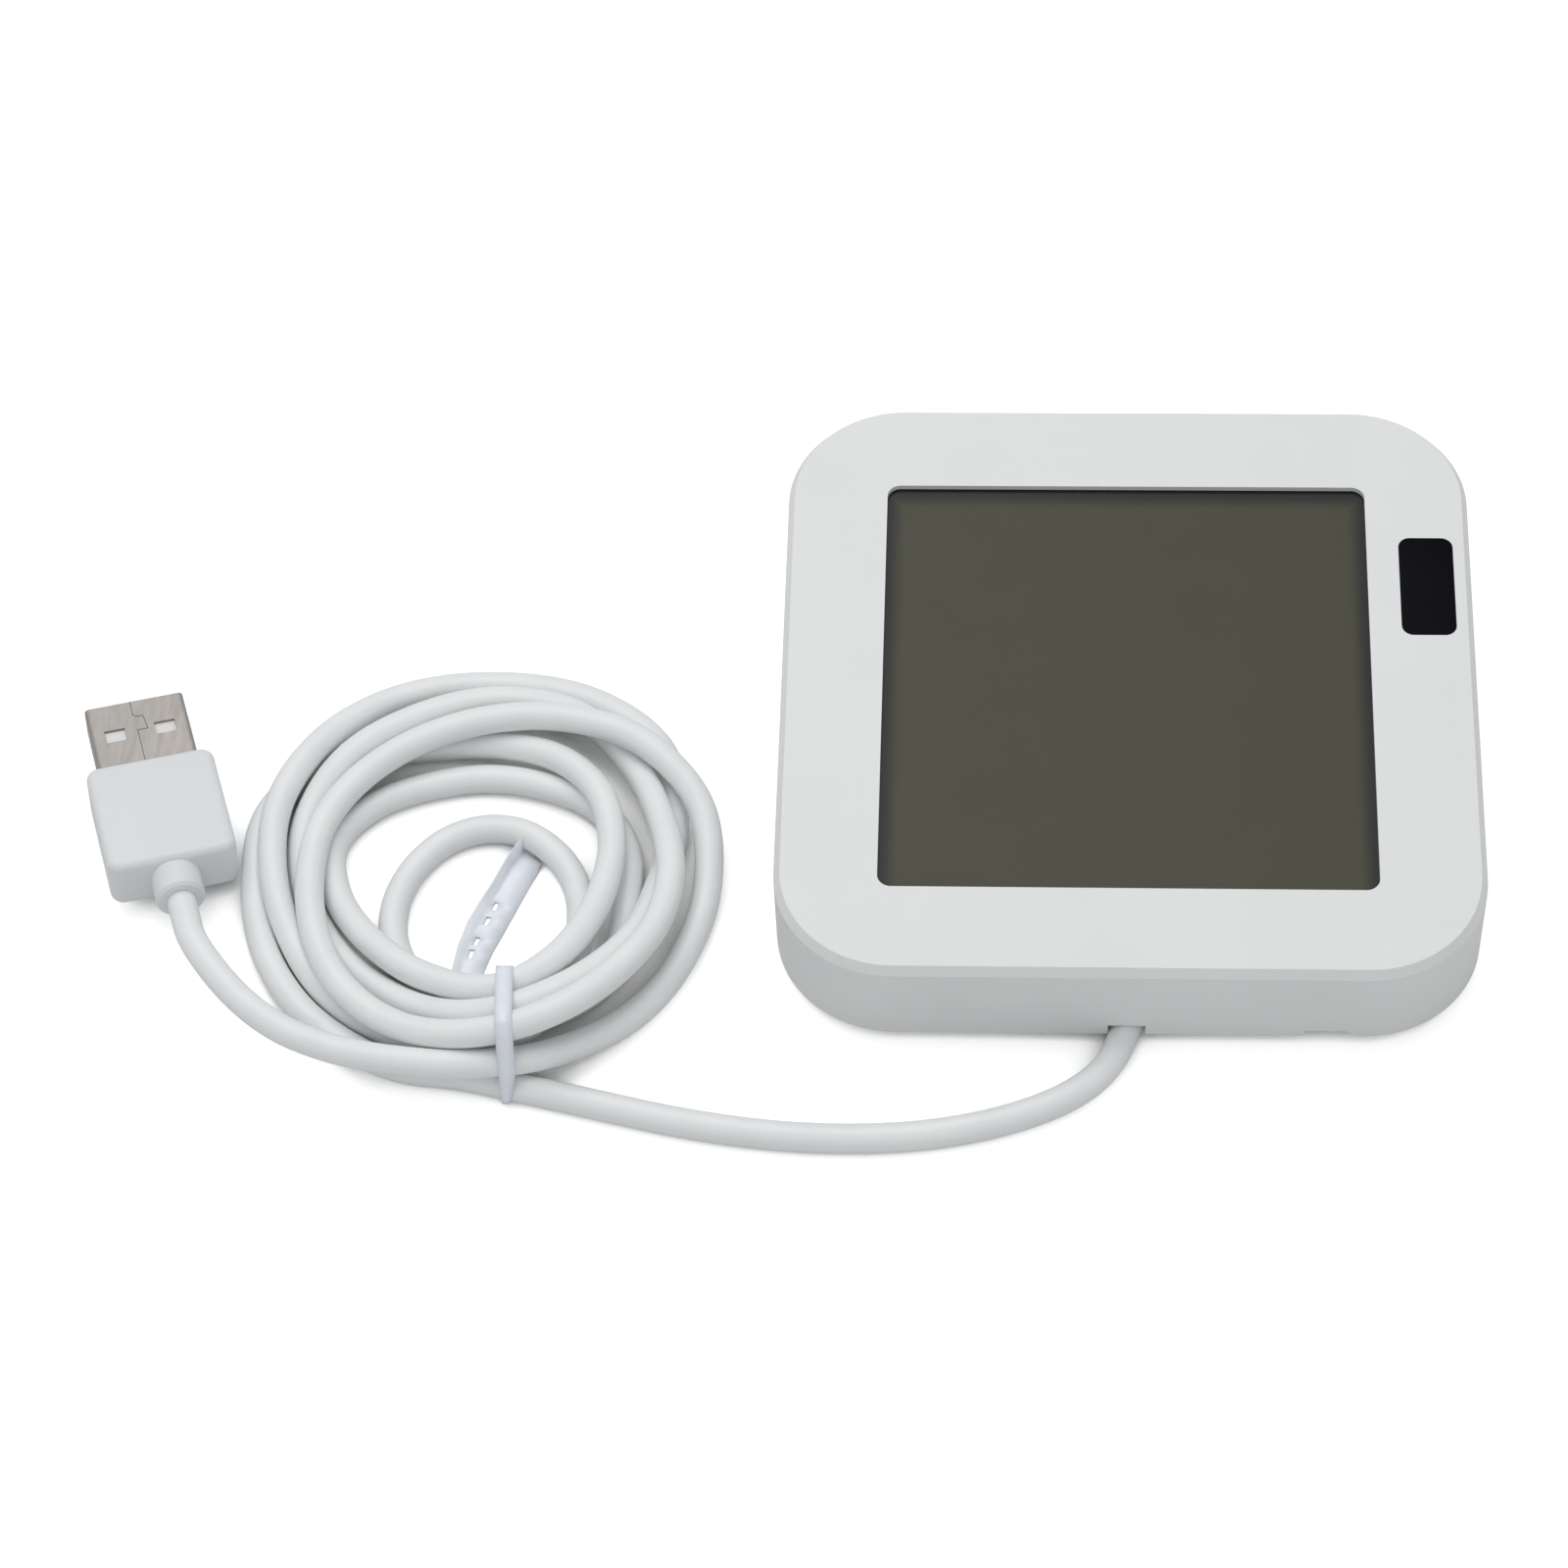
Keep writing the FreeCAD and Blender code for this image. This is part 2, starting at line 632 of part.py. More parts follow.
def front_housing():
    body = new_body("front_housing")
    outline = Profile(body, "HousingOutline", offset=S.wall_foot)
    outline.rounded(-half_width, half_width, -half_width, half_width, S.body_corner)
    pad(body, "HousingBlock", outline, face_top - S.wall_foot)
    bevel = dress(body, "Chamfer", "FaceBevel", flat_at(face_top), S.bevel_reach)
    bevel.ChamferType = "Two distances"
    bevel.setExpression("Size2", S.bevel_drop.text)
    cavity = Profile(body, "CavityOutline", offset=S.wall_foot)
    cavity.rounded(-inner_half, inner_half, -inner_half, inner_half, inner_corner)
    pocket(body, "Cavity", cavity, face_under - S.wall_foot)
    seat = Profile(body, "DisplaySeatOutline", offset=face_under)
    seat.box(panel_left - S.panel_gap, panel_right + S.panel_gap,
             panel_low - S.panel_gap, panel_high + S.panel_gap)
    pocket(body, "DisplaySeat", seat, S.face - S.screen_lip)
    opening = Profile(body, "ScreenOutline", offset=lip_under)
    opening.rounded(screen_left, screen_right, screen_low, screen_high, S.screen_corner)
    pocket(body, "ScreenOpening", opening, S.screen_lip)
    window = Profile(body, "WindowOutline", offset=face_under)
    window.rounded(window_left, window_right, window_high - S.window_height, window_high, S.window_corner)
    pocket(body, "WindowOpening", window, S.face)
    boss = Profile(body, "BossOutline", offset=boss_foot).circle(boss_place, boss_place, S.boss_radius)
    boss_pad = pad(body, "Boss", boss, face_under - boss_foot)
    pilot = Profile(body, "PilotOutline", offset=boss_foot).circle(boss_place, boss_place, pilot_radius)
    pilot_cut = pocket(body, "Pilot", pilot, face_under - S.pilot_cover - boss_foot)
    ring_of(body, "CornerBosses", [boss_pad, pilot_cut])
    stays = cylinder_row(body, "Stays", "StayOutline", board_top, stay_spots, S.stay_radius)
    pad(body, "BoardBosses", stays, face_under - board_top)
    holes = cylinder_row(body, "StayHoles", "StayHoleOutline", board_top, stay_spots, pilot_radius)
    pocket(body, "BoardPilots", holes, face_under - S.pilot_cover / 2 - board_top)
    notch = Profile(body, "NotchOutline", plane="XZ_Plane", offset=inner_half - S.wall)
    notch.box(notch_left, notch_right, S.wall_foot - S.wall, exit_z + S.cord_radius + S.notch_clear)
    pocket(body, "CordNotch", notch, S.wall * 3)
    pry = Profile(body, "PryOutline", plane="XZ_Plane", offset=half_width - S.pry_depth)
    pry_foot = S.wall_foot - S.pry_rise
    pry_top = S.wall_foot + S.pry_rise
    pry_right = half_width - S.pry_inset
    pry_left = pry_right - S.pry_length
    pry.polygon([(pry_left, pry_foot), (pry_right, pry_foot), (pry_right, S.wall_foot),
                 (pry_right - S.pry_run, pry_top), (pry_left, pry_top)])
    pocket(body, "PrySlot", pry, S.pry_depth * 2)


def rear_cover():
    body = new_body("rear_cover")
    cover_half = half_width - S.cover_inset
    outline = Profile(body, "CoverOutline", offset=S.cover_foot)
    outline.rounded(-cover_half, cover_half, -cover_half, cover_half, S.body_corner - S.cover_inset)
    pad(body, "CoverPlate", outline, S.wall_foot - S.cover_foot)
    dress(body, "Chamfer", "CoverBevel", flat_at(S.cover_foot), S.cover_bevel)
    spigot_corner = inner_corner - S.spigot_gap
    rim = Profile(body, "RimOutline", offset=S.wall_foot)
    rim.rounded(-spigot_half, spigot_half, -spigot_half, spigot_half, spigot_corner)
    pad(body, "Rim", rim, S.spigot_height)
    bay_half = spigot_half - S.spigot_wall
    bay = Profile(body, "BayOutline", offset=plate_top)
    bay.rounded(-bay_half, bay_half, -bay_half, bay_half, spigot_corner - S.spigot_wall)
    pocket(body, "Bay", bay, S.wall_foot + S.spigot_height - plate_top)

    # Folded stand: a recess with its own roof, deeper at the hinge
    recess_top = S.stand_hinge_z - S.stand_barrel + S.stand_plate + S.stand_gap
    hinge_top = S.stand_hinge_z + S.stop_reach + S.stand_gap
    hinge_low = S.stand_hinge_y - S.stop_reach + S.stop_bite
    hinge_high = S.stand_hinge_y + S.stand_barrel + S.hinge_room
    roof = Profile(body, "RoofOutline", offset=plate_top)
    roof.box(-roof_half, roof_half, roof_low, hinge_high + S.recess_side)
    pad(body, "RecessRoof", roof, recess_top + S.recess_roof - plate_top)
    hood = Profile(body, "HoodOutline", offset=plate_top)
    hood.box(-roof_half, roof_half, hinge_low - S.recess_side, hinge_high + S.recess_side)
    pad(body, "HingeHood", hood, hinge_top + S.recess_roof - plate_top)
    recess = Profile(body, "RecessOutline", offset=S.cover_foot)
    recess.rounded(-recess_half, recess_half, recess_low, hinge_high, S.stand_corner + S.stand_gap)
    pocket(body, "Recess", recess, recess_top - S.cover_foot)
    well = Profile(body, "WellOutline", offset=S.cover_foot)
    well.box(-recess_half, recess_half, hinge_low, hinge_high)
    pocket(body, "HingeWell", well, hinge_top - S.cover_foot)
    bore = Profile(body, "PinBoreOutline", plane="YZ_Plane", offset=-roof_half - S.recess_side)
    bore.circle(S.stand_hinge_y, S.stand_hinge_z, S.pin_radius + S.pin_fit)
    pocket(body, "PinBore", bore, (roof_half + S.recess_side) * 2)
    scoop = Profile(body, "ScoopOutline", offset=S.cover_foot).circle(0, recess_low, S.scoop_radius)
    pocket(body, "FingerScoop", scoop, S.scoop_depth)

    # Corner posts with counterbored screw holes
    post = Profile(body, "PostOutline", offset=plate_top).circle(boss_place, boss_place, S.post_radius)
    post_pad = pad(body, "Post", post, boss_foot - S.post_gap - plate_top)
    sink = Profile(body, "SinkOutline", offset=S.cover_foot)
    sink.circle(boss_place, boss_place, S.head_radius + S.head_gap)
    sink_cut = pocket(body, "Counterbore", sink, S.head_seat - S.cover_foot)
    shank = Profile(body, "ShankOutline", offset=S.cover_foot)
    shank.circle(boss_place, boss_place, S.shank_radius + S.shank_gap)
    shank_cut = pocket(body, "ShankHole", shank, boss_foot - S.cover_foot)
    ring_of(body, "CornerPosts", [post_pad, sink_cut, shank_cut])

    feet = cylinder_row(body, "Feet", "FootOutline", S.cover_foot, foot_spots, S.foot_radius + S.foot_gap)
    pocket(body, "FootRecesses", feet, S.foot_seat)
    button = Profile(body, "ButtonOutline", offset=S.cover_foot)
    button.circle(button_x, button_y, S.button_radius + S.button_gap)
    pocket(body, "ButtonHole", button, S.cover_plate)
    vent_low = vent_y - S.vent_pitch * (S.vent_count - 1) / 2
    vent = Profile(body, "VentOutline", offset=S.cover_foot)
    vent.rounded(vent_x - S.vent_length / 2, vent_x + S.vent_length / 2,
                 vent_low - S.vent_width / 2, vent_low + S.vent_width / 2, S.vent_width * 0.45)
    vent_cut = pocket(body, "VentSlot", vent, S.cover_plate)
    row_of(body, "Vents", [vent_cut], "Y_Axis", S.vent_pitch, S.vent_count)

    # Cord: posts for its clamp, an open trough and a shallow one behind it
    posts = Profile(body, "ClampPostOutline", offset=plate_top)
    pilots = Profile(body, "ClampPilotOutline", offset=groove_floor)
    for side in (-1, 1):
        posts.circle(S.clamp_x + S.clamp_reach * side, clamp_y, S.clamp_depth / 2)
        pilots.circle(S.clamp_x + S.clamp_reach * side, clamp_y, pilot_radius)
    pad(body, "ClampPosts", posts, clamp_z - plate_top)
    pocket(body, "ClampPilots", pilots, clamp_z - groove_floor)
    trough = Profile(body, "TroughOutline", offset=S.cover_foot)
    trough.box(notch_left, S.clamp_x + S.cord_radius + S.trough_play, -half_width, trough_end)
    pocket(body, "CordTrough", trough, S.wall_foot + S.spigot_height - S.cover_foot)
    groove = Profile(body, "GrooveOutline", offset=groove_floor)
    groove.box(S.clamp_x - S.cord_radius - S.head_gap, S.clamp_x + S.cord_radius + S.head_gap,
               trough_end, roof_low)
    pocket(body, "CordGroove", groove, S.cover_plate - S.trough_floor)


def kickstand():
    body = new_body("kickstand")
    stand_foot = S.stand_hinge_z - S.stand_barrel
    side = S.stand_width / 2
    outline = Profile(body, "StandOutline", offset=stand_foot)
    outline.rounded(-side, side, stand_low, S.stand_hinge_y + S.stand_corner, S.stand_corner)
    pad(body, "StandPlate", outline, S.stand_plate)
    trim = Profile(body, "TrimOutline", offset=stand_foot)
    trim.box(-side, side, S.stand_hinge_y, S.stand_hinge_y + S.stand_corner * 2)
    pocket(body, "HingeTrim", trim, S.stand_plate)
    barrel = Profile(body, "BarrelOutline", plane="YZ_Plane", offset=-side)
    barrel.circle(S.stand_hinge_y, S.stand_hinge_z, S.stand_barrel)
    pad(body, "Barrel", barrel, S.stand_width)
    lug = Profile(body, "LugOutline", plane="YZ_Plane", offset=-side)
    lug.box(S.stand_hinge_y - S.stop_width / 2, S.stand_hinge_y + S.stop_width / 2,
            S.stand_hinge_z, S.stand_hinge_z + S.stop_reach)
    pad(body, "StopLug", lug, S.stand_width)
    bore = Profile(body, "StandBoreOutline", plane="YZ_Plane", offset=-side)
    bore.circle(S.stand_hinge_y, S.stand_hinge_z, S.pin_radius + S.pin_gap)
    pocket(body, "StandBore", bore, S.stand_width)
    grip_low = stand_low + S.grip_pitch
    grip = Profile(body, "GripOutline", offset=stand_foot)
    grip.box(-side + S.stand_corner, side - S.stand_corner, grip_low, grip_low + S.grip_width)
    grip_cut = pocket(body, "Grip", grip, S.grip_depth)
    row_of(body, "Grips", [grip_cut], "Y_Axis", S.grip_pitch, S.grip_count)


def hinge_pin():
    pin = cross_rod("HingePin", -roof_half, S.stand_hinge_y, S.stand_hinge_z, roof_half * 2,
                    S.pin_radius, X_AXIS)
    keep(pin, "stand_hinge_pin")


def screw_body(label, spots_place, seat, length, pattern):
    """Self-tapping screws that point up, their heads below their seat."""
    body = new_body(label)
    originals = []
    for index, (across, along) in enumerate(spots_place):
        profile = Profile(body, "Screw%dOutline" % index, plane="XZ_Plane", offset=-along, across=across)
        bevel = S.head_height / 5
        profile.polygon([
            (0, seat - S.head_height), (S.head_radius - bevel, seat - S.head_height),
            (S.head_radius, seat - S.head_height + bevel), (S.head_radius, seat), (S.shank_radius, seat),
            (S.shank_radius, seat + length - S.shank_radius / 2), (S.shank_radius / 2, seat + length),
            (0, seat + length)])
        originals.append(revolve(body, "Screw%d" % index, profile))
    if pattern:
        ring_of(body, "ScrewRing", originals)


def housing_screws():
    screw_body("housing_screws", [(boss_place, boss_place)], S.head_seat, screw_length, True)


def board_screws():
    screw_body("board_screws", stay_spots, board_foot, S.stay_length, False)


def rubber_feet():
    feet = [rod("Foot%d" % index, across, along, 0, S.cover_foot + S.foot_seat, S.foot_radius)
            for index, (across, along) in enumerate(foot_spots)]
    keep(group("Feet", feet), "rubber_feet")


def infrared_window():
    body = new_body("infrared_window")
    left = window_left + S.window_gap
    right = window_right - S.window_gap
    low = window_high - S.window_height + S.window_gap
    high = window_high - S.window_gap
    foot = face_top - S.window_depth
    face = Profile(body, "WindowFaceOutline", offset=foot)
    face.rounded(left, right, low, high, S.window_corner - S.window_gap)
    pad(body, "WindowFace", face, S.window_depth)
    flange = Profile(body, "WindowFlangeOutline", offset=foot)
    flange.box(left, right, low - S.window_flange, high + S.window_flange)
    pad(body, "WindowFlange", flange, face_under - S.seat_gap - foot)


def pairing_button():
    body = new_body("pairing_button")
    foot = S.cover_foot + S.button_sink
    rim_foot = plate_top + S.button_rest
    rim_top = rim_foot + S.button_rim_height
    bevel = S.button_sink
    profile = Profile(body, "ButtonProfile", plane="XZ_Plane", offset=-button_y, across=button_x)
    rim_radius = S.button_radius + S.button_rim
    profile.polygon([(0, foot), (S.button_radius - bevel, foot), (S.button_radius, foot + bevel),
                     (S.button_radius, rim_foot), (rim_radius, rim_foot), (rim_radius, rim_top),
                     (0, rim_top)])
    revolve(body, "ButtonCap", profile)
    return rim_top


def pairing_switch(rim_top):
    foot = rim_top + S.switch_gap
    bore_top = foot + S.plunger_bury + S.plunger_room
    shell = block_at("SwitchShell", button_x, button_y, S.switch_side, S.switch_side, foot, board_foot)
    bore = rod("SwitchBore", button_x, button_y, foot, bore_top, S.plunger_radius + S.plunger_gap)
    keep(cut("Switch", shell, bore), "pairing_switch")
    plunger = rod("Plunger", button_x, button_y, rim_top, foot + S.plunger_bury, S.plunger_radius)
    keep(plunger, "switch_plunger")


def main_board():
    body = new_body("main_board")
    half = inner_half - S.board_gap
    outline = Profile(body, "BoardOutline", offset=board_foot)
    outline.rounded(-half, half, -half, half, inner_corner - S.board_gap)
    pad(body, "Board", outline, S.board_plate)
    hole = Profile(body, "BossHoleOutline", offset=board_foot)
    hole.circle(boss_place, boss_place, S.boss_radius + S.board_hole_gap)
    hole_cut = pocket(body, "BossHole", hole, S.board_plate)
    ring_of(body, "BossHoles", [hole_cut])
    stays = cylinder_row(body, "ScrewHoles", "ScrewHoleOutline", board_foot, stay_spots,
                         S.shank_radius + S.shank_gap)
    pocket(body, "ScrewHoles", stays, S.board_plate)
    near = S.tongue_side / 2
    far = near + S.slot_width
    slot = Profile(body, "HeatSlotOutline", offset=board_foot)
    slot.polygon([(vent_x - far, vent_y - near), (vent_x - near, vent_y - near),
                  (vent_x - near, vent_y + near), (vent_x + near, vent_y + near),
                  (vent_x + near, vent_y - near), (vent_x + far, vent_y - near),
                  (vent_x + far, vent_y + far), (vent_x - far, vent_y + far)])
    pocket(body, "HeatSlot", slot, S.board_plate)


def sensor():
    foot = board_foot - S.sensor_height
    shell = block_at("SensorShell", vent_x, vent_y, S.sensor_side, S.sensor_side, foot, board_foot)
    port = rod("SensorPort", vent_x, vent_y, foot, foot + S.sensor_height / 2, S.port_radius)
    keep(cut("Sensor", shell, port), "humidity_sensor")
    outer = block_at("GasketOuter", vent_x, vent_y, S.gasket_side, S.gasket_side,
                     plate_top + S.seat_gap, board_foot - S.seat_gap)
    inside = S.gasket_side - S.gasket_wall * 2
    inner = block_at("GasketInner", vent_x, vent_y, inside, inside, plate_top, board_foot)
    keep(cut("Gasket", outer, inner), "sensor_gasket")


def board_electronics():
    """Radio module with its shield, chips and capacitors, all on the rear face."""
    foot = board_foot
    radio_x = S.board_gap + S.radio_inset + S.radio_width / 2 - inner_half
    radio_foot = foot - S.radio_plate
    keep(block_at("Radio", radio_x, S.radio_y, S.radio_width, S.radio_length, radio_foot, foot),
         "radio_module")
    shield_y = S.radio_y - (S.radio_length - S.shield_length) / 2 + S.radio_plate
    keep(block_at("Shield", radio_x, shield_y, S.radio_width - S.radio_plate * 2, S.shield_length,
                  radio_foot - S.shield_height, radio_foot), "radio_shield")
    keep(block_at("Driver", ZERO, S.driver_y, S.driver_side, S.driver_side, foot - S.driver_height, foot),
         "display_driver")
    keep(block_at("Regulator", supply_x, S.regulator_y, S.regulator_width, S.regulator_depth,
                  foot - S.regulator_height, foot), "voltage_regulator")
    cans = [rod("Can%d" % index, supply_x + S.can_pitch * index, S.can_y, foot - S.can_height, foot,
                S.can_radius) for index in range(2)]
    keep(group("Cans", cans), "supply_capacitors")


def display():
    inset = S.polarizer_inset
    film = (panel_left + inset, panel_right - inset, panel_short + inset, panel_high - inset)
    keep(block("FrontFilm", *film, glass_top, lip_under), "front_polarizer")
    keep(block("FrontGlass", panel_left, panel_right, panel_low, panel_high, glass_middle, glass_top),
         "front_glass")
    keep(block("RearGlass", panel_left, panel_right, panel_short, panel_high, glass_foot, glass_middle),
         "rear_glass")
    keep(block("RearFilm", *film, rear_film_foot, glass_foot), "rear_polarizer")
    guide_high = panel_high - S.guide_short
    keep(block("Guide", panel_left + inset, panel_right - inset, panel_short + inset, guide_high,
               guide_foot, guide_top), "light_guide")
    lamp_face = guide_high + S.seat_gap
    rail_low = lamp_face + S.lamp_depth
    rail = block("LampRail", panel_left + inset, panel_right - inset, rail_low, rail_low + S.rail_plate,
                 guide_foot, guide_top)
    middle = (panel_left + panel_right) / 2
    count = int(S.lamp_count.value)
    lamps = [block_at("Lamp%d" % index, middle + S.lamp_pitch * (index - (count - 1) / 2),
                      lamp_face + S.lamp_depth / 2, S.lamp_width, S.lamp_depth,
                      guide_foot, guide_foot + S.lamp_height) for index in range(count)]
    keep(join("Lamps", [rail] + lamps), "backlight_lamps")
    strip_y = panel_low + S.panel_ledge / 2
    half_strip = S.strip_width / 2
    keep(block("ContactStrip", screen_left, screen_right, strip_y - half_strip, strip_y + half_strip,
               board_top, glass_middle), "contact_strip")


def display_frame():
    body = new_body("display_frame")
    gap = S.panel_gap
    edge = gap + S.frame_wall
    outline = Profile(body, "FrameOutline", offset=frame_foot)
    outline.box(panel_left - edge, panel_right + edge, panel_low - edge, panel_high + edge)
    pad(body, "FrameBlock", outline, face_under - S.seat_gap - frame_foot)
    tray = Profile(body, "TrayOutline", offset=frame_floor_top)
    tray.box(panel_left - gap, panel_right + gap, panel_low - gap, panel_high + gap)
    pocket(body, "Tray", tray, face_under - frame_floor_top)
    skirt = Profile(body, "SkirtOutline", offset=frame_foot)
    skirt.box(panel_left - gap, panel_right + gap, panel_low - gap, panel_high + gap)
    pocket(body, "Skirt", skirt, S.frame_skirt)
    strip_y = panel_low + S.panel_ledge / 2
    half_strip = S.strip_width / 2 + S.seat_gap
    slot = Profile(body, "StripSlotOutline", offset=frame_foot)
    slot.box(screen_left - gap, screen_right + gap, strip_y - half_strip, strip_y + half_strip)
    pocket(body, "StripSlot", slot, S.frame_skirt + S.frame_floor)
    corners = [(across, along) for across in (-boss_place, boss_place)
               for along in (-boss_place, boss_place)]
    relief = cylinder_row(body, "CornerReliefs", "CornerReliefOutline", frame_foot, corners,
                          S.boss_radius + S.board_hole_gap)
    pocket(body, "CornerReliefs", relief, face_under - frame_foot)


def infrared_parts():
    """Two emitters and a receiver on the board, behind their window."""
    foot = board_top
    top = face_top - S.window_depth - S.seat_gap
    body = new_body("infrared_emitters")
    for index, along in enumerate((window_y - S.emitter_drop, window_y + S.emitter_rise)):
        profile = Profile(body, "Emitter%dOutline" % index, plane="XZ_Plane", offset=-along, across=window_x)
        rim = S.emitter_radius * 1.27
        profile.polygon([(0, foot), (rim, foot), (rim, foot + 0.9), (S.emitter_radius, foot + 0.9),
                         (S.emitter_radius, top - S.emitter_radius), (S.emitter_radius * 0.72, top - 0.45),
                         (S.emitter_radius * 0.3, top), (0, top)])
        revolve(body, "Emitter%d" % index, profile)
    receiver_y = window_y - S.receiver_drop
    case_top = foot + S.receiver_height
    case = block_at("ReceiverCase", window_x, receiver_y, S.receiver_width, S.receiver_depth, foot, case_top)
    lens = doc.addObject("Part::Sphere", "ReceiverLens")
    lens.setExpression("Radius", S.lens_radius.text)
    place(lens, window_x, receiver_y, case_top)
    keep(join("Receiver", [case, lens]), "infrared_receiver")


def cord_clamp():
    """A saddle over the cord, screwed to two posts of the cover."""
    y_start = clamp_y + S.clamp_depth / 2
    width = S.clamp_reach * 2 + S.clamp_depth
    ears = block_at("ClampEars", S.clamp_x, clamp_y, width, S.clamp_depth, clamp_z, clamp_z + S.clamp_ear)
    arch_radius = S.cord_radius + S.clamp_gap + S.clamp_wall
    arch = cross_rod("ClampArch", S.clamp_x, y_start, clamp_z, S.clamp_depth, arch_radius, -Y_AXIS)
    saddle = join("ClampSaddle", [ears, arch])
    tunnel = cross_rod("ClampTunnel", S.clamp_x, y_start + 1, clamp_z, S.clamp_depth + 2,
                       S.cord_radius + S.clamp_gap, -Y_AXIS)
    below = block_at("ClampBelow", S.clamp_x, clamp_y, width, S.clamp_depth + 1, clamp_z - 4, clamp_z)
    holes = [rod("ClampHole%d" % side, S.clamp_x + S.clamp_reach * side, clamp_y, clamp_z,
                 clamp_z + S.clamp_ear, S.shank_radius + S.shank_gap) for side in (-1, 1)]
    keep(cut("Clamp", saddle, join("ClampCuts", [tunnel, below] + holes)), "cord_clamp")
    screws = []
    for side in (-1, 1):
        across = S.clamp_x + S.clamp_reach * side
        top = clamp_z + S.clamp_ear
        head = rod("ClampHead%d" % side, across, clamp_y, top, top + S.clamp_head, S.head_radius)
        shank = rod("ClampShank%d" % side, across, clamp_y, groove_floor + S.thread_gap, top,
                    S.shank_radius)
        screws.append(join("ClampScrew%d" % side, [head, shank]))
    keep(group("ClampScrews", screws), "clamp_screws")


# Cords and wires

def run_length(start, end):
    return end.sub(start).Length


def tube_path(points):
    """Straight runs joined by the largest tangent arcs, and the arcs' radii."""
    edges = []
    radii = []
    here = points[0]
    for before, bend, after in zip(points, points[1:], points[2:]):
        to_bend = bend.sub(before)
        from_bend = after.sub(bend)
        turn = to_bend.getAngle(from_bend)
        reach = 0.45 * min(to_bend.Length, from_bend.Length)
        radii.append(reach / math.tan(turn / 2))
        start = bend.sub(V(to_bend).normalize() * reach)
        end = bend.add(V(from_bend).normalize() * reach)
        inward = V(from_bend).normalize().sub(V(to_bend).normalize()).normalize()
        sag = radii[-1] * (1 / math.cos(turn / 2) - 1)
        middle = bend.add(inward * sag)
        edges.append(Part.LineSegment(here, start).toShape())
        edges.append(Part.Arc(start, middle, end).toShape())
        here = end
    edges.append(Part.LineSegment(here, points[-1]).toShape())
    return Part.Wire(edges), radii


def sweep(path, start, direction, radius):
    circle = Part.Wire([Part.Circle(start, direction, radius).toShape()])
    return path.makePipeShell([circle], True, False)


def tube(label, points, radius, spot=None):
    """A round tube along a route of chosen points."""
    path, radii = tube_path(points)
    solid = sweep(path, points[0], points[1].sub(points[0]), radius)
    expected = math.pi * radius ** 2 * path.Length
    if abs(solid.Volume / expected - 1) > 0.01:
        raise RuntimeError(label + " tube has the wrong volume")
    print(label, "length %.1f" % path.Length, "radii", ["%.1f" % size for size in radii])
    return solid


def solid_part(label, shape, placement=None):
    item = doc.addObject("Part::Feature", "Solid_" + label)
    item.Shape = shape
    if placement:
        item.Placement = placement
    return keep(item, label)


cord_radius = S.cord_radius.value
floor_z = cord_radius + 0.005
exit_point = V(S.exit_x.value, -half_width.value, exit_z.value)

# Lower left corner of the housing's outline, which the places beside it are taken from
corner = V(-half_width.value, -half_width.value, 0)

# Inner end of the cord, from its clamp to the notch, and its way out of the notch
EXIT_WAY = V(-0.342, -0.940, -0.028).normalize()
EXIT_RUN = 3.8
inner_route = [
    V(S.clamp_x.value, (clamp_y + S.clamp_depth * 0.45).value, clamp_z.value),
    V(S.clamp_x.value, (clamp_y - S.clamp_depth * 0.7).value, clamp_z.value),
    exit_point - EXIT_WAY * EXIT_RUN,
    exit_point,
]

# Free stretch from the notch to the coil, lying on the floor: places from the
# cord's exit, then places from the corner of the housing
LEAD_NEAR = ((-3.69, -6.50), (-8.15, -9.55), (-15.85, -12.45))
LEAD_FAR = ((14.9, -14.15), (2.9, -14.25), (-9.0, -12.70), (-18.3, -10.60))
LEAD_FIRST = 3.6
lead_route = [exit_point, exit_point + EXIT_WAY * LEAD_FIRST]
lead_route += [V(exit_point.x + across, exit_point.y + along, floor_z) for across, along in LEAD_NEAR]
lead_route += [corner + V(across, along, floor_z) for across, along in LEAD_FAR]

# Coil: six turns pinned together where the tie holds them. The lower layer winds
# in from the rim to a small loop, which climbs, and the upper layer winds out.
# Each turn is four distances from the corner of the housing.
COIL_X = -35.3
LOWER_LAYER = cord_radius + S.layer_lift.value
UPPER_LAYER = LOWER_LAYER + 2 * cord_radius + S.layer_gap.value
TIE_PLACES = (-7.2, -1.6, 2.4, 4.6, 0.5, -3.5, -7.8)
TURN_WEST = (-62.4, -57.1, -45.8, -51.2, -56.0, -60.5)
TURN_NORTH = (49.2, 40.5, 28.5, 32.7, 41.2, 45.3)
TURN_EAST = (-9.0, -16.6, -23.6, -19.3, -12.6, -8.4)
CLIMBING_TURN = len(TURN_WEST) // 2 - 1
CLIMB_EARLY = 0.15
CLIMB_SLOPE = 0.12
FIRST_WAY = V(-math.cos(math.radians(8)), math.sin(math.radians(8)), 0)
LEAD_RUN = 6.2

# Free stretch from the coil to the plug: places from the corner and the upper layer
TAIL_FIRST = 4.85
TAIL_STOPS = ((-50.2, -6.4, 0.08), (-57.3, -3.4, 0.38), (-63.2, 1.6, 0.78))
TAIL_LAST = 6.6


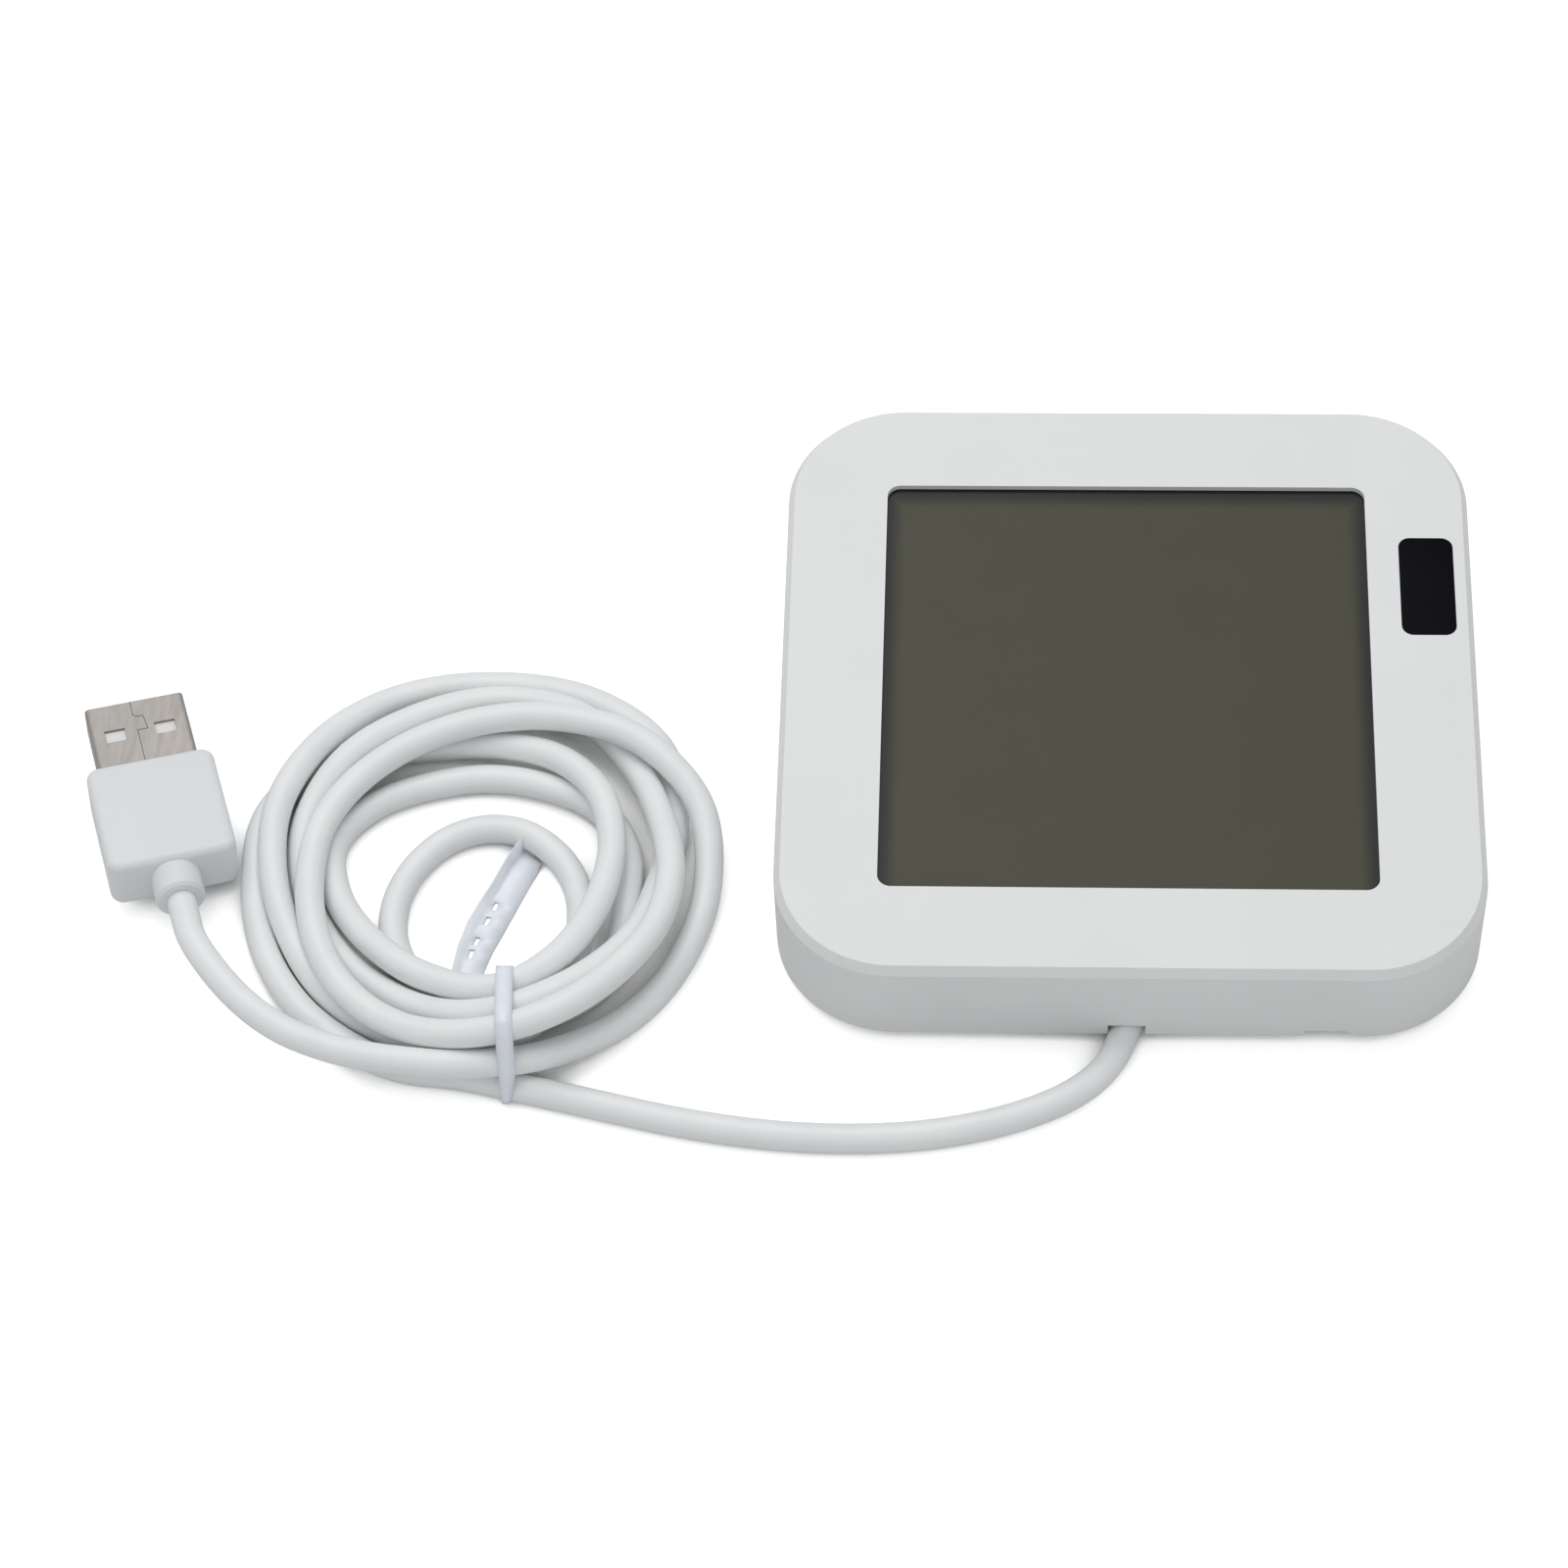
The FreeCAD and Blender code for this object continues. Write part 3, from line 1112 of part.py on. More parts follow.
def coil_stations():
    """Four places and directions in each turn, and the ends' straight runs."""
    stations = [(corner + V(COIL_X, TIE_PLACES[0], LOWER_LAYER), FIRST_WAY)]
    level = LOWER_LAYER
    for turn, (west, north, east) in enumerate(zip(TURN_WEST, TURN_NORTH, TURN_EAST)):
        start = TIE_PLACES[turn]
        end = TIE_PLACES[turn + 1]
        rise = UPPER_LAYER - LOWER_LAYER if turn == CLIMBING_TURN else 0.0
        slope = CLIMB_SLOPE if rise else 0.0
        stations.append((corner + V(west, (start + north) / 2, level), Y_AXIS))
        stations.append((corner + V((west + east) / 2, north, level), X_AXIS))
        climb = level + CLIMB_EARLY * rise
        stations.append((corner + V(east, (end + north) / 2, climb), V(0, -1, slope)))
        level += rise
        stations.append((corner + V(COIL_X, end, level), -X_AXIS))
    return stations


def arc_from(start, direction, end):
    """The arc that leaves start along a direction and ends at end, or a line."""
    chord = end.sub(start)
    side = chord.sub(direction * chord.dot(direction))
    if side.Length < 1e-7:
        return Part.LineSegment(start, end)
    inward = V(side).normalize()
    radius = chord.dot(chord) / (2 * chord.dot(inward))
    half_turn = math.atan2(chord.dot(inward), chord.dot(direction))
    centre = start.add(inward * radius)
    middle = centre.add((direction * math.sin(half_turn) - inward * math.cos(half_turn)) * radius)
    return Part.Arc(start, middle, end)


def biarc(start, start_way, end, end_way):
    """Two tangent arcs from one place and direction to the next."""
    start_way = V(start_way).normalize()
    end_way = V(end_way).normalize()
    chord = end.sub(start)
    both = start_way.add(end_way)
    spread = 2 * (1 - start_way.dot(end_way))
    along = chord.dot(both)
    reach = (math.sqrt(along ** 2 + spread * chord.dot(chord)) - along) / spread
    meet = start.add(start_way * reach).add(end.sub(end_way * reach)) * 0.5
    back = arc_from(end, -end_way, meet)
    first = arc_from(start, start_way, meet)
    second = Part.Arc(meet, back.value((back.FirstParameter + back.LastParameter) / 2), end)
    return [first, second]


def coil_curves():
    stations = coil_stations()
    straight = 2 * cord_radius
    first, first_way = stations[0]
    last, last_way = stations[-1]
    curves = [Part.LineSegment(first.sub(first_way * straight), first)]
    for (here, way), (there, way_there) in zip(stations, stations[1:]):
        curves += biarc(here, way, there, way_there)
    curves.append(Part.LineSegment(last, last.add(last_way * straight)))
    return curves


def least_gap(points, skip):
    """Smallest gap of the tube to itself, leaving out its near neighbours."""
    best = 1e9
    for index, here in enumerate(points):
        for there in points[index + skip:]:
            best = min(best, run_length(here, there))
    return best - 2 * cord_radius


def cord_coil():
    curves = coil_curves()
    path = Part.Wire([curve.toShape() for curve in curves])
    start = curves[0].StartPoint
    solid = sweep(path, start, FIRST_WAY, cord_radius)
    points = path.discretize(Distance=1.0)
    tightest = min(edge.Curve.Radius for edge in path.Edges if hasattr(edge.Curve, "Radius"))
    print("cord_coil length %.1f" % path.Length, "least gap %.2f" % least_gap(points, 24),
          "tightest bend %.1f" % tightest)
    solid_part("cord_coil", solid)
    return curves[0].StartPoint, curves[-1].EndPoint


# Plug: its own frame has the middle of the shell's mouth in the moulding as origin,
# +Y towards the open end and the shell's seam on top

plug_turn = (FreeCAD.Rotation(Z_AXIS, 17.5)
             * FreeCAD.Rotation(X_AXIS, -6.3)
             * FreeCAD.Rotation(Y_AXIS, 4.2))
PLUG_ACROSS = -76.04
PLUG_ALONG = 33.97
plug_base = corner + V(PLUG_ACROSS, PLUG_ALONG, (S.plug_height / 2 + S.plug_lift).value)
plug_place = FreeCAD.Placement(plug_base, plug_turn)


def plug_pieces():
    body = new_body("plug_moulding")
    side = S.plug_width / 2
    outline = Profile(body, "PlugOutline", offset=-S.plug_height / 2)
    outline.rounded(-side, side, -S.plug_length, ZERO, S.plug_corner)
    pad(body, "PlugBlock", outline, S.plug_height)
    dress(body, "Fillet", "PlugEdges",
          lambda edge: edge.BoundBox.ZLength < 1e-4, S.plug_round)
    mouth = Profile(body, "MouthOutline", plane="XZ_Plane", offset=ZERO)
    mouth.rounded(-S.shell_width / 2 - S.plug_gap, S.shell_width / 2 + S.plug_gap,
                  -S.shell_height / 2 - S.plug_gap, S.shell_height / 2 + S.plug_gap,
                  S.shell_corner + S.plug_gap)
    pocket(body, "Mouth", mouth, S.shell_bury)
    body.Placement = plug_place

    relief = new_body("plug_strain_relief")
    end = -S.plug_length - S.relief_length
    root = Profile(relief, "ReliefOutline")
    root.polygon([(0, -S.plug_length), (0, end), (S.relief_radius - S.relief_round, end),
                  (S.relief_radius, end + S.relief_round), (S.relief_radius, -S.plug_length)])
    revolve(relief, "Relief", root)
    relief.Placement = plug_place

    shell = new_body("plug_shell")
    tube_outline = Profile(shell, "ShellOutline", plane="XZ_Plane", offset=S.shell_bury)
    for inset in (ZERO, S.shell_wall):
        tube_outline.rounded(-S.shell_width / 2 + inset, S.shell_width / 2 - inset,
                             -S.shell_height / 2 + inset, S.shell_height / 2 - inset,
                             S.shell_corner - inset)
    pad(shell, "ShellTube", tube_outline, S.shell_length + S.shell_bury, back=True)
    latch_y = S.shell_length - S.latch_back
    latches = Profile(shell, "LatchOutline", offset=-S.shell_height / 2)
    for side_x in (-S.latch_x, S.latch_x):
        latches.box(side_x - S.latch_width / 2, side_x + S.latch_width / 2,
                    latch_y - S.latch_length / 2, latch_y + S.latch_length / 2)
    pocket(shell, "LatchHoles", latches, S.shell_height)
    shell.Placement = plug_place

    tongue_top = S.shell_height / 2 - S.shell_wall - S.plug_gap
    tongue_foot = tongue_top - S.tongue_plate
    tongue_end = S.shell_length - S.tongue_back
    tongue_side = S.shell_width / 2 - S.shell_corner
    tongue = new_body("plug_tongue")
    plate = Profile(tongue, "TongueOutline", offset=tongue_foot)
    plate.box(-tongue_side, tongue_side, -S.shell_bury, tongue_end)
    pad(tongue, "TonguePlate", plate, S.tongue_plate)
    slots = Profile(tongue, "BladeSlotOutline", offset=tongue_foot)
    blades = new_body("plug_contacts")
    strips = Profile(blades, "BladeOutline", offset=tongue_foot)
    for place_x in (-S.blade_outer, -S.blade_inner, S.blade_inner, S.blade_outer):
        half = S.blade_width / 2
        start = tongue_end - S.tongue_back - S.blade_length
        stop = tongue_end - S.tongue_back
        slots.box(place_x - half - S.plug_gap, place_x + half + S.plug_gap,
                  start - S.plug_gap, stop + S.plug_gap)
        strips.box(place_x - half, place_x + half, start, stop)
    pocket(tongue, "BladeSlots", slots, S.blade_plate)
    pad(blades, "Blades", strips, S.blade_plate)
    tongue.Placement = plug_place
    blades.Placement = plug_place


def cord_tie():
    """A thin band round the bundle, with its tail flat on the floor inside the coil."""
    plate = S.tie_plate.value
    width = S.tie_width.value
    foot = 0.02
    outer_low = corner.y + TIE_PLACES[-1] - cord_radius - 0.35 - plate
    outer_high = corner.y + TIE_PLACES[CLIMBING_TURN + 1] + cord_radius + 2.0 + plate
    top = UPPER_LAYER + cord_radius + 0.06 + plate
    rounding = S.tie_round.value
    left = corner.x - 30.5 - width / 2

    def ring(inset):
        low = outer_low + inset
        high = outer_high - inset
        shape = Part.makeBox(width, high - low, top - foot - 2 * inset, V(left, low, foot + inset))
        edges = [edge for edge in shape.Edges if edge.BoundBox.XLength > width / 2]
        return shape.makeFillet(rounding - inset, edges)

    band = ring(0).cut(ring(plate))
    tail_left = [(-32.2, 0.0), (-37.6, 6.4), (-36.6, 11.5), (-33.7, 18.6), (-30.3, 28.2)]
    tail_right = [(-27.9, 24.4), (-30.3, 18.1), (-33.2, 11.8), (-34.2, 7.4), (-30.5, 2.6)]
    bends = [corner + V(across, along, foot) for across, along in tail_left + tail_right]
    outline = Part.makePolygon(bends + [bends[0]])
    tail = Part.Face(outline).extrude(Z_AXIS * plate)
    solid_part("cord_tie", band.fuse(tail).removeSplitter())


def supply_wires():
    """Two insulated wires from the cord's end to the connector on the board."""
    start_y = inner_route[0].y + 0.15
    link_left = S.link_x - S.link_width / 2
    keep(block_at("LinkShell", S.link_x, link_y, S.link_width, S.link_depth,
                  board_foot - S.link_height, board_foot), "supply_connector")
    start_z = (clamp_z + S.wire_rise).value
    level = start_z + S.wire_climb.value
    wires = []
    for side in (-1, 1):
        across = (S.clamp_x + S.wire_pitch / 2 * side).value
        turn_y = start_y + (S.wire_run - S.wire_spread * (side + 1) / 2).value
        route = [V(across, start_y, start_z), V(across, turn_y, level),
                 V(link_left.value - 0.05, turn_y + 0.05, level)]
        wires.append(tube("supply_wire", route, S.wire_radius.value))
    solid_part("supply_wires", Part.makeCompound(wires))



front_housing()
rear_cover()
kickstand()
hinge_pin()
housing_screws()
board_screws()
rubber_feet()
infrared_window()
pairing_switch(pairing_button() or plate_top + S.button_rest + S.button_rim_height)
main_board()
sensor()
board_electronics()
display()
display_frame()
infrared_parts()
cord_clamp()
supply_wires()
solid_part("cord_inner_end", tube("cord_inner_end", inner_route, cord_radius))
coil_start, coil_end = cord_coil()
lead_route += [coil_start - FIRST_WAY * LEAD_RUN, coil_start]
solid_part("cord_lead", tube("cord_lead", lead_route, cord_radius))
plug_pieces()
relief_end = plug_place.multVec(V(0, -(S.plug_length + S.relief_length).value, 0))
relief_way = plug_turn.multVec(-Y_AXIS)
tail_route = [coil_end, coil_end - X_AXIS * TAIL_FIRST]
tail_route += [corner + V(across, along, UPPER_LAYER + rise) for across, along, rise in TAIL_STOPS]
tail_route += [relief_end + relief_way * TAIL_LAST, relief_end]
solid_part("cord_tail", tube("cord_tail", tail_route, cord_radius))
cord_tie()

doc.recompute()
for item in doc.Objects:
    if {"Invalid", "Error"} & set(item.State):
        raise RuntimeError("%s failed: %s" % (item.Name, item.State))
os.makedirs("parts", exist_ok=True)
for item in parts:
    if item.Shape.isNull() or not item.Shape.isValid():
        raise RuntimeError("%s has no valid shape" % item.Label)
    item.Shape.exportStep("parts/%s.step" % item.Label)
print(len(parts), "sub-parts")
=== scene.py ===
# %% [markdown]
# # A smart hygrometer with its coiled supply cord
# The object is a white square housing with a dark display behind its face, a small
# black infrared window, and a thin white cord that lies coiled beside it and ends
# in its plug. The solid pieces come from the CAD model, which is loaded below as a
# fixed frame. This lesson gives them their finishes, draws the soft pieces that a
# solid can only hint at, and sets up the camera, the floor and the light.

# %% Load the model
import math

import bmesh
import bpy
from mathutils import Matrix, Vector


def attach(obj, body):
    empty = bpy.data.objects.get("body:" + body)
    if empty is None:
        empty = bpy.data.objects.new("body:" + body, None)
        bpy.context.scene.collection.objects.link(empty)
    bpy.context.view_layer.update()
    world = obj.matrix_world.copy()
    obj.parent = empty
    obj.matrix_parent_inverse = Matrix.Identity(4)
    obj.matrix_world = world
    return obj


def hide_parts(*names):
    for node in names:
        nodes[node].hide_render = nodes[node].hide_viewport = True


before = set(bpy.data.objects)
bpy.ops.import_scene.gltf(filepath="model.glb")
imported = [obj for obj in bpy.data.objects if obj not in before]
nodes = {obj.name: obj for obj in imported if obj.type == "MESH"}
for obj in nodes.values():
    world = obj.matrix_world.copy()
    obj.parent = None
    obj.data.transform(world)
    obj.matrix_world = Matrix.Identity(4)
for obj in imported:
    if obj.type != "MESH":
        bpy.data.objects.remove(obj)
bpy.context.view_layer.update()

scene = bpy.context.scene

# %% [markdown]
# ## Units
# Blender works in metres and the object is the size of a hand, so places are
# easier to read in millimetres. One helper turns a place in millimetres into a
# vector in metres. Every size of the object below goes through it or through MM.

# %% Millimetres
MM = 0.001


def place(across, along, up):
    """A point given in millimetres, as a vector in metres."""
    return Vector((across, along, up)) * MM


print("one millimetre is", MM, "metres")

# %% [markdown]
# ## Camera
# The photograph was taken from in front and well above, with a long lens. A
# camera could be aimed with a constraint, but a plain matrix is exact: its columns
# are the directions to the right of the picture, to the top of the picture and back
# towards the eye, and the last one is where the eye is.

# %% Camera at the photographer's place
EYE = place(-12.01, -339.22, 484.58)
PICTURE_RIGHT = Vector((0.9988, 0.0342, -0.0362)).normalized()
LOOK = Vector((-0.0492, 0.5671, -0.8222)).normalized()
LENS = 112.52
SENSOR = 36.0
NEAREST_SEEN = 0.02
FARTHEST_SEEN = 20.0

picture_up = PICTURE_RIGHT.cross(LOOK).normalized()
picture_right = LOOK.cross(picture_up)
camera_data = bpy.data.cameras.new("camera")
camera_data.lens = LENS
camera_data.sensor_width = SENSOR
camera_data.clip_start = NEAREST_SEEN
camera_data.clip_end = FARTHEST_SEEN
camera = bpy.data.objects.new("camera", camera_data)
scene.collection.objects.link(camera)
turn = Matrix((picture_right, picture_up, -LOOK)).transposed().to_4x4()
camera.matrix_world = Matrix.Translation(EYE) @ turn
scene.camera = camera
print("camera", round(EYE.length, 3), "m from the middle of the housing")

# %% [markdown]
# ## The cord's free ends
# The real cord is one limp round cable. It leaves the notch in the lower wall,
# sweeps along the table to the coil, and after the coil a short stretch climbs into
# the plug's collar. A NURBS curve suits it, because it stays smooth between a few
# chosen points. The two lists below hold the points inside the housing and those
# from the notch to the coil. On both sides of the notch the cord runs straight.

# %% Free ends of the cord
CORD_RADIUS = 1.725
FLOOR_CLEARANCE = 0.005
FLOOR_LEVEL = CORD_RADIUS + FLOOR_CLEARANCE
STRAIGHT_INSIDE = 3.8
STRAIGHT_OUTSIDE = 3.6

exit_point = place(-0.45, -41.0, 1.9)
exit_way = Vector((-0.342, -0.940, -0.028)).normalized()
inner_points = [
    place(1.3, -28.4, 3.75),
    place(1.3, -33.0, 3.75),
    exit_point - exit_way * STRAIGHT_INSIDE * MM,
]
lead_points = [
    exit_point,
    exit_point + exit_way * STRAIGHT_OUTSIDE * MM,
    place(-4.14, -47.50, FLOOR_LEVEL),
    place(-8.60, -50.55, FLOOR_LEVEL),
    place(-16.3, -53.45, FLOOR_LEVEL),
    place(-26.1, -55.20, FLOOR_LEVEL),
    place(-38.1, -55.30, FLOOR_LEVEL),
    place(-50.0, -53.70, FLOOR_LEVEL),
    place(-61.0, -51.10, FLOOR_LEVEL),
]
print(len(inner_points) + len(lead_points), "points before the coil")

# %% [markdown]
# ## The plug's place
# The plug lies turned and slightly nose down. Its solids already lie there, but the
# cord has to meet its collar squarely, so the same place is written as a matrix:
# +Y runs towards the open end of the shell, and +Z is the side with the seam.

# %% Where the plug lies
PLUG_LENGTH = 16.6
RELIEF_LENGTH = 3.8
PLUG_SPOT = place(-117.04, -7.03, 3.80)
PLUG_HEADING = 17.5
PLUG_DIP = -6.3
PLUG_ROLL = 4.2

plug_turn = (Matrix.Rotation(math.radians(PLUG_HEADING), 4, "Z")
             @ Matrix.Rotation(math.radians(PLUG_DIP), 4, "X")
             @ Matrix.Rotation(math.radians(PLUG_ROLL), 4, "Y"))
plug_place = Matrix.Translation(PLUG_SPOT) @ plug_turn
relief_end = plug_place @ place(0, -PLUG_LENGTH - RELIEF_LENGTH, 0)
relief_way = (plug_turn.to_3x3() @ Vector((0, -1, 0))).normalized()
print("the collar ends at", [round(size / MM, 2) for size in relief_end])

# %% [markdown]
# ## The coil
# The coil has six turns, all held by the tie. Nobody wound it on a former, so every
# turn lies where it fell: on the table, across its neighbours, or on top of them. The
# solid model only needs two tidy layers, but the picture needs the real lie. Each
# turn is a table of 18 reaches from one middle, and 18 heights of the cord's middle
# over the table, one every 20 degrees, clockwise from the tie. The first turn lies
# low on its outer side and climbs over the next ones as it comes back to the tie.

# %% Tables of the coil
COIL_MIDDLE = (-76.3, -26.0)
DIRECTIONS = 18
TURN_REACH = (
    (21.5, 21.9, 22.5, 23.8, 25.4, 27.4, 30.3, 29.6, 26.0,
     24.6, 23.3, 21.1, 18.0, 15.4, 14.1, 13.8, 13.8, 13.4),
    (12.3, 11.6, 11.7, 12.4, 14.1, 17.2, 20.8, 21.1, 20.3,
     20.2, 20.3, 20.8, 19.8, 17.7, 17.3, 17.5, 16.2, 14.6),
    (13.1, 11.8, 10.9, 10.4, 10.1, 10.1, 10.4, 11.1, 12.1,
     12.9, 13.2, 12.8, 12.4, 12.2, 12.5, 13.7, 16.1, 18.1),
    (17.9, 18.0, 18.8, 20.1, 21.9, 24.8, 28.4, 30.9, 32.9,
     33.5, 33.8, 32.1, 26.1, 21.4, 19.4, 18.1, 17.6, 17.0),
    (16.0, 15.1, 14.8, 15.7, 18.0, 21.3, 24.9, 26.9, 28.0,
     30.1, 30.5, 27.3, 24.5, 23.2, 22.0, 21.0, 20.8, 20.3),
    (19.5, 19.1, 18.9, 18.9, 19.2, 20.2, 22.0, 23.3, 24.4,
     26.0, 27.6, 29.2, 29.7, 27.4, 25.1, 23.5, 22.4, 22.2),
)
TURN_HEIGHT = (
    (1.8, 1.8, 1.8, 1.8, 1.8, 1.8, 1.8, 1.8, 1.8,
     2.6, 4.2, 5.4, 5.6, 6.1, 7.1, 8.1, 8.3, 7.2),
    (6.2, 5.7, 5.3, 4.7, 3.6, 2.5, 1.9, 1.8, 1.8,
     1.8, 1.8, 1.8, 1.8, 1.8, 1.8, 1.8, 1.8, 1.8),
    (1.8, 1.8, 1.8, 1.8, 1.8, 1.8, 1.8, 1.8, 1.8,
     1.8, 1.8, 1.8, 1.9, 2.4, 3.2, 4.3, 5.3, 4.3),
    (2.8, 2.0, 1.8, 1.9, 2.9, 4.3, 5.1, 5.1, 3.5,
     2.5, 2.0, 1.8, 1.8, 2.9, 4.9, 6.9, 8.5, 8.2),
    (6.4, 4.5, 3.0, 2.0, 1.8, 1.9, 2.9, 4.9, 5.3,
     4.2, 3.4, 3.3, 5.2, 6.5, 7.6, 9.0, 10.2, 9.6),
    (7.8, 6.3, 5.6, 5.3, 5.3, 5.3, 5.3, 5.4, 5.8,
     6.0, 6.5, 6.6, 4.7, 2.6, 1.9, 2.0, 3.1, 4.8),
)
LAST_REACH = 22.2
LAST_HEIGHT = 5.5
print(len(TURN_REACH), "turns of", DIRECTIONS, "places each")

# %% [markdown]
# The spline that is drawn later only passes near its points, so they have to be
# dense. A Catmull-Rom curve passes through all the places of the tables, and three
# points are read off it for each of them.

# %% Points of the coil
SOFT_STEPS = 3


def coil_place(step, reach, height):
    """A place at a reach and a height, in one of the directions round the middle."""
    angle = 2 * math.pi * step / DIRECTIONS
    return place(COIL_MIDDLE[0] - reach * math.sin(angle),
                 COIL_MIDDLE[1] - reach * math.cos(angle), height)


def coil_points():
    """One point for each number of the tables, and the last one by the tie."""
    points = []
    for reaches, heights in zip(TURN_REACH, TURN_HEIGHT):
        for step, (reach, height) in enumerate(zip(reaches, heights)):
            points.append(coil_place(step, reach, height))
    return points + [coil_place(0, LAST_REACH, LAST_HEIGHT)]


def soften(points, first, last):
    """More points on a Catmull-Rom curve through the given ones, from first to last."""
    soft = list(points[:first])
    for index in range(first, last):
        before, here, there, after = points[index - 1:index + 3]
        for step in range(SOFT_STEPS):
            share = step / SOFT_STEPS
            soft.append(here + 0.5 * share * (there - before
                        + share * (2 * before - 5 * here + 4 * there - after
                                   + share * (3 * here - before - 3 * there + after))))
    return soft + list(points[last:])


turns_points = coil_points()
print(len(turns_points), "places in the coil")

# %% [markdown]
# ## The climb to the plug
# After the last turn the cord leaves the tie at the front of the bundle, one strand up
# from the table. It climbs a little on its way to the plug and runs straight into the
# collar. COLLAR_STEPS says how many millimetres before the collar two points lie.

# %% Points after the coil
COLLAR_STEPS = (6.6, 3.0)

tail_points = [
    place(-80.3, -48.2, 5.6),
    place(-87.3, -47.4, 5.6),
    place(-93.0, -46.0, 5.7),
    place(-98.6, -43.6, 6.0),
    place(-104.0, -39.1, 6.4),
    *(relief_end + relief_way * step * MM for step in COLLAR_STEPS),
    relief_end,
]
print(len(tail_points), "points after the coil")

# %% [markdown]
# ## One cord
# The cord is one spline, and a bevel gives it its round section. Its thickness is
# given to the points and not to the bevel, because the box that Blender keeps round a
# curve counts the points' own thickness. The order of 3 with its end points used makes
# the cord start and end exactly where the first and last points are. It is set after
# the points are added, because a new spline has too few points to hold it.

# %% Helpers for the cord
SPLINE_ORDER = 3
SPLINE_STEPS = 4
SECTION_STEPS = 5


def draw_cord(name, points, radius):
    """One open, smooth spline with a round section, in metres."""
    curve = bpy.data.curves.new(name, "CURVE")
    curve.dimensions = "3D"
    spline = curve.splines.new("NURBS")
    spline.points.add(len(points) - 1)
    for spot, point in zip(spline.points, points):
        spot.co = (*point, 1.0)
        spot.radius = radius
    spline.order_u = SPLINE_ORDER
    spline.use_endpoint_u = True
    spline.resolution_u = SPLINE_STEPS
    curve.bevel_depth = 1.0
    curve.bevel_resolution = SECTION_STEPS
    curve.use_fill_caps = True
    piece = bpy.data.objects.new(name, curve)
    scene.collection.objects.link(piece)
    return piece


def line_length(piece):
    """Length of a curve's own line, measured on a copy without its section."""
    bare = piece.data.copy()
    bare.bevel_depth = 0
    bare.use_fill_caps = False
    probe = bpy.data.objects.new("probe", bare)
    mesh = bpy.data.meshes.new_from_object(probe)
    spots = [vertex.co for vertex in mesh.vertices]
    total = sum((b - a).length for a, b in zip(spots, spots[1:]))
    bpy.data.objects.remove(probe)
    bpy.data.meshes.remove(mesh)
    return total


print("a spline of order", SPLINE_ORDER)

# %% [markdown]
# All the points now make one route, which is smoothed from the start of the coil to
# its end. The curve stands for the four solids of the cord, so it replaces them. Its
# length is measured and not assumed.

# %% Draw the cord
before_coil = inner_points + lead_points
route = before_coil + turns_points + tail_points
last_before = len(before_coil) - 1
supply_cord = draw_cord("supply_cord",
                        soften(route, last_before, last_before + len(turns_points)),
                        CORD_RADIUS * MM)
cord_length = line_length(supply_cord)
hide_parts("cord_inner_end", "cord_lead", "cord_coil", "cord_tail")
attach(supply_cord, "housing")
print("the cord is", round(cord_length, 3), "m long")

# %% [markdown]
# ## The tie
# A thin translucent strip holds the bundle. It passes once round all the strands
# and its long tail lies flat on the table inside the coil, with a row of small
# holes. A strip is easiest as a ribbon: a row of cross lines joined by faces, which
# a Solidify modifier then makes as thick as the real film.

# %% Helpers for thin strips
CORNER_STEPS = 6


def mesh_piece(name, build):
    """A new object whose mesh is filled by a function that gets a bmesh."""
    mesh = bpy.data.meshes.new(name)
    work = bmesh.new()
    build(work)
    bmesh.ops.recalc_face_normals(work, faces=work.faces)
    work.to_mesh(mesh)
    work.free()
    piece = bpy.data.objects.new(name, mesh)
    scene.collection.objects.link(piece)
    for face in mesh.polygons:
        face.use_smooth = True
    return piece


def join_rows(work, row, after, left_open=None):
    """Faces between two cross rows, with none in the column that is left open."""
    for left in range(len(row) - 1):
        if left != left_open:
            work.faces.new((row[left], row[left + 1], after[left + 1], after[left]))


def rounded_loop(corners, radius):
    """A closed line through straight sides and round corners, in the Y-Z plane."""
    loop = []
    count = len(corners)
    for index, corner in enumerate(corners):
        corner = Vector(corner)
        before = (Vector(corners[index - 1]) - corner).normalized()
        after = (Vector(corners[(index + 1) % count]) - corner).normalized()
        start = corner + before * radius
        end = corner + after * radius
        for step in range(CORNER_STEPS + 1):
            share = step / CORNER_STEPS
            loop.append(start * (1 - share) ** 2 + corner * 2 * share * (1 - share)
                        + end * share ** 2)
    return loop


def solidify(piece, thickness):
    """Make a strip as thick as given in metres, half of it on each side."""
    coat = piece.modifiers.new("thickness", "SOLIDIFY")
    coat.thickness = thickness
    coat.offset = 0.0


print("a round corner has", CORNER_STEPS, "steps")

# %% [markdown]
# The band's loop is tight round the strands where they cross it, so its corners are
# those of the bundle's outline. It leans a little to the left on its way back, and
# pinches to a tip where it turns under the bundle at the front.

# %% Shape of the band
BAND_PLATE = 0.3
BAND_X = -71.4
BAND_Y = -44.0
BAND_WIDTH = 2.0
BAND_LEAN = 0.07
BAND_ROUNDING = 0.4
BAND_CORNERS = (
    (-50.8, 1.77), (-50.54, 0.81), (-49.83, 0.2), (-38.47, 0.2),
    (-37.79, 1.3), (-36.39, 7.4), (-36.65, 8.41), (-37.58, 9.25),
    (-44.75, 11.27), (-45.98, 11.2), (-47.0, 10.25), (-49.32, 6.2),
)
PINCH_Y = -48.5
PINCH_TIP = 0.1
PINCH_HEIGHT = 4.6
PINCH_SHIFT = 0.9
print("the band has", len(BAND_CORNERS), "corners")


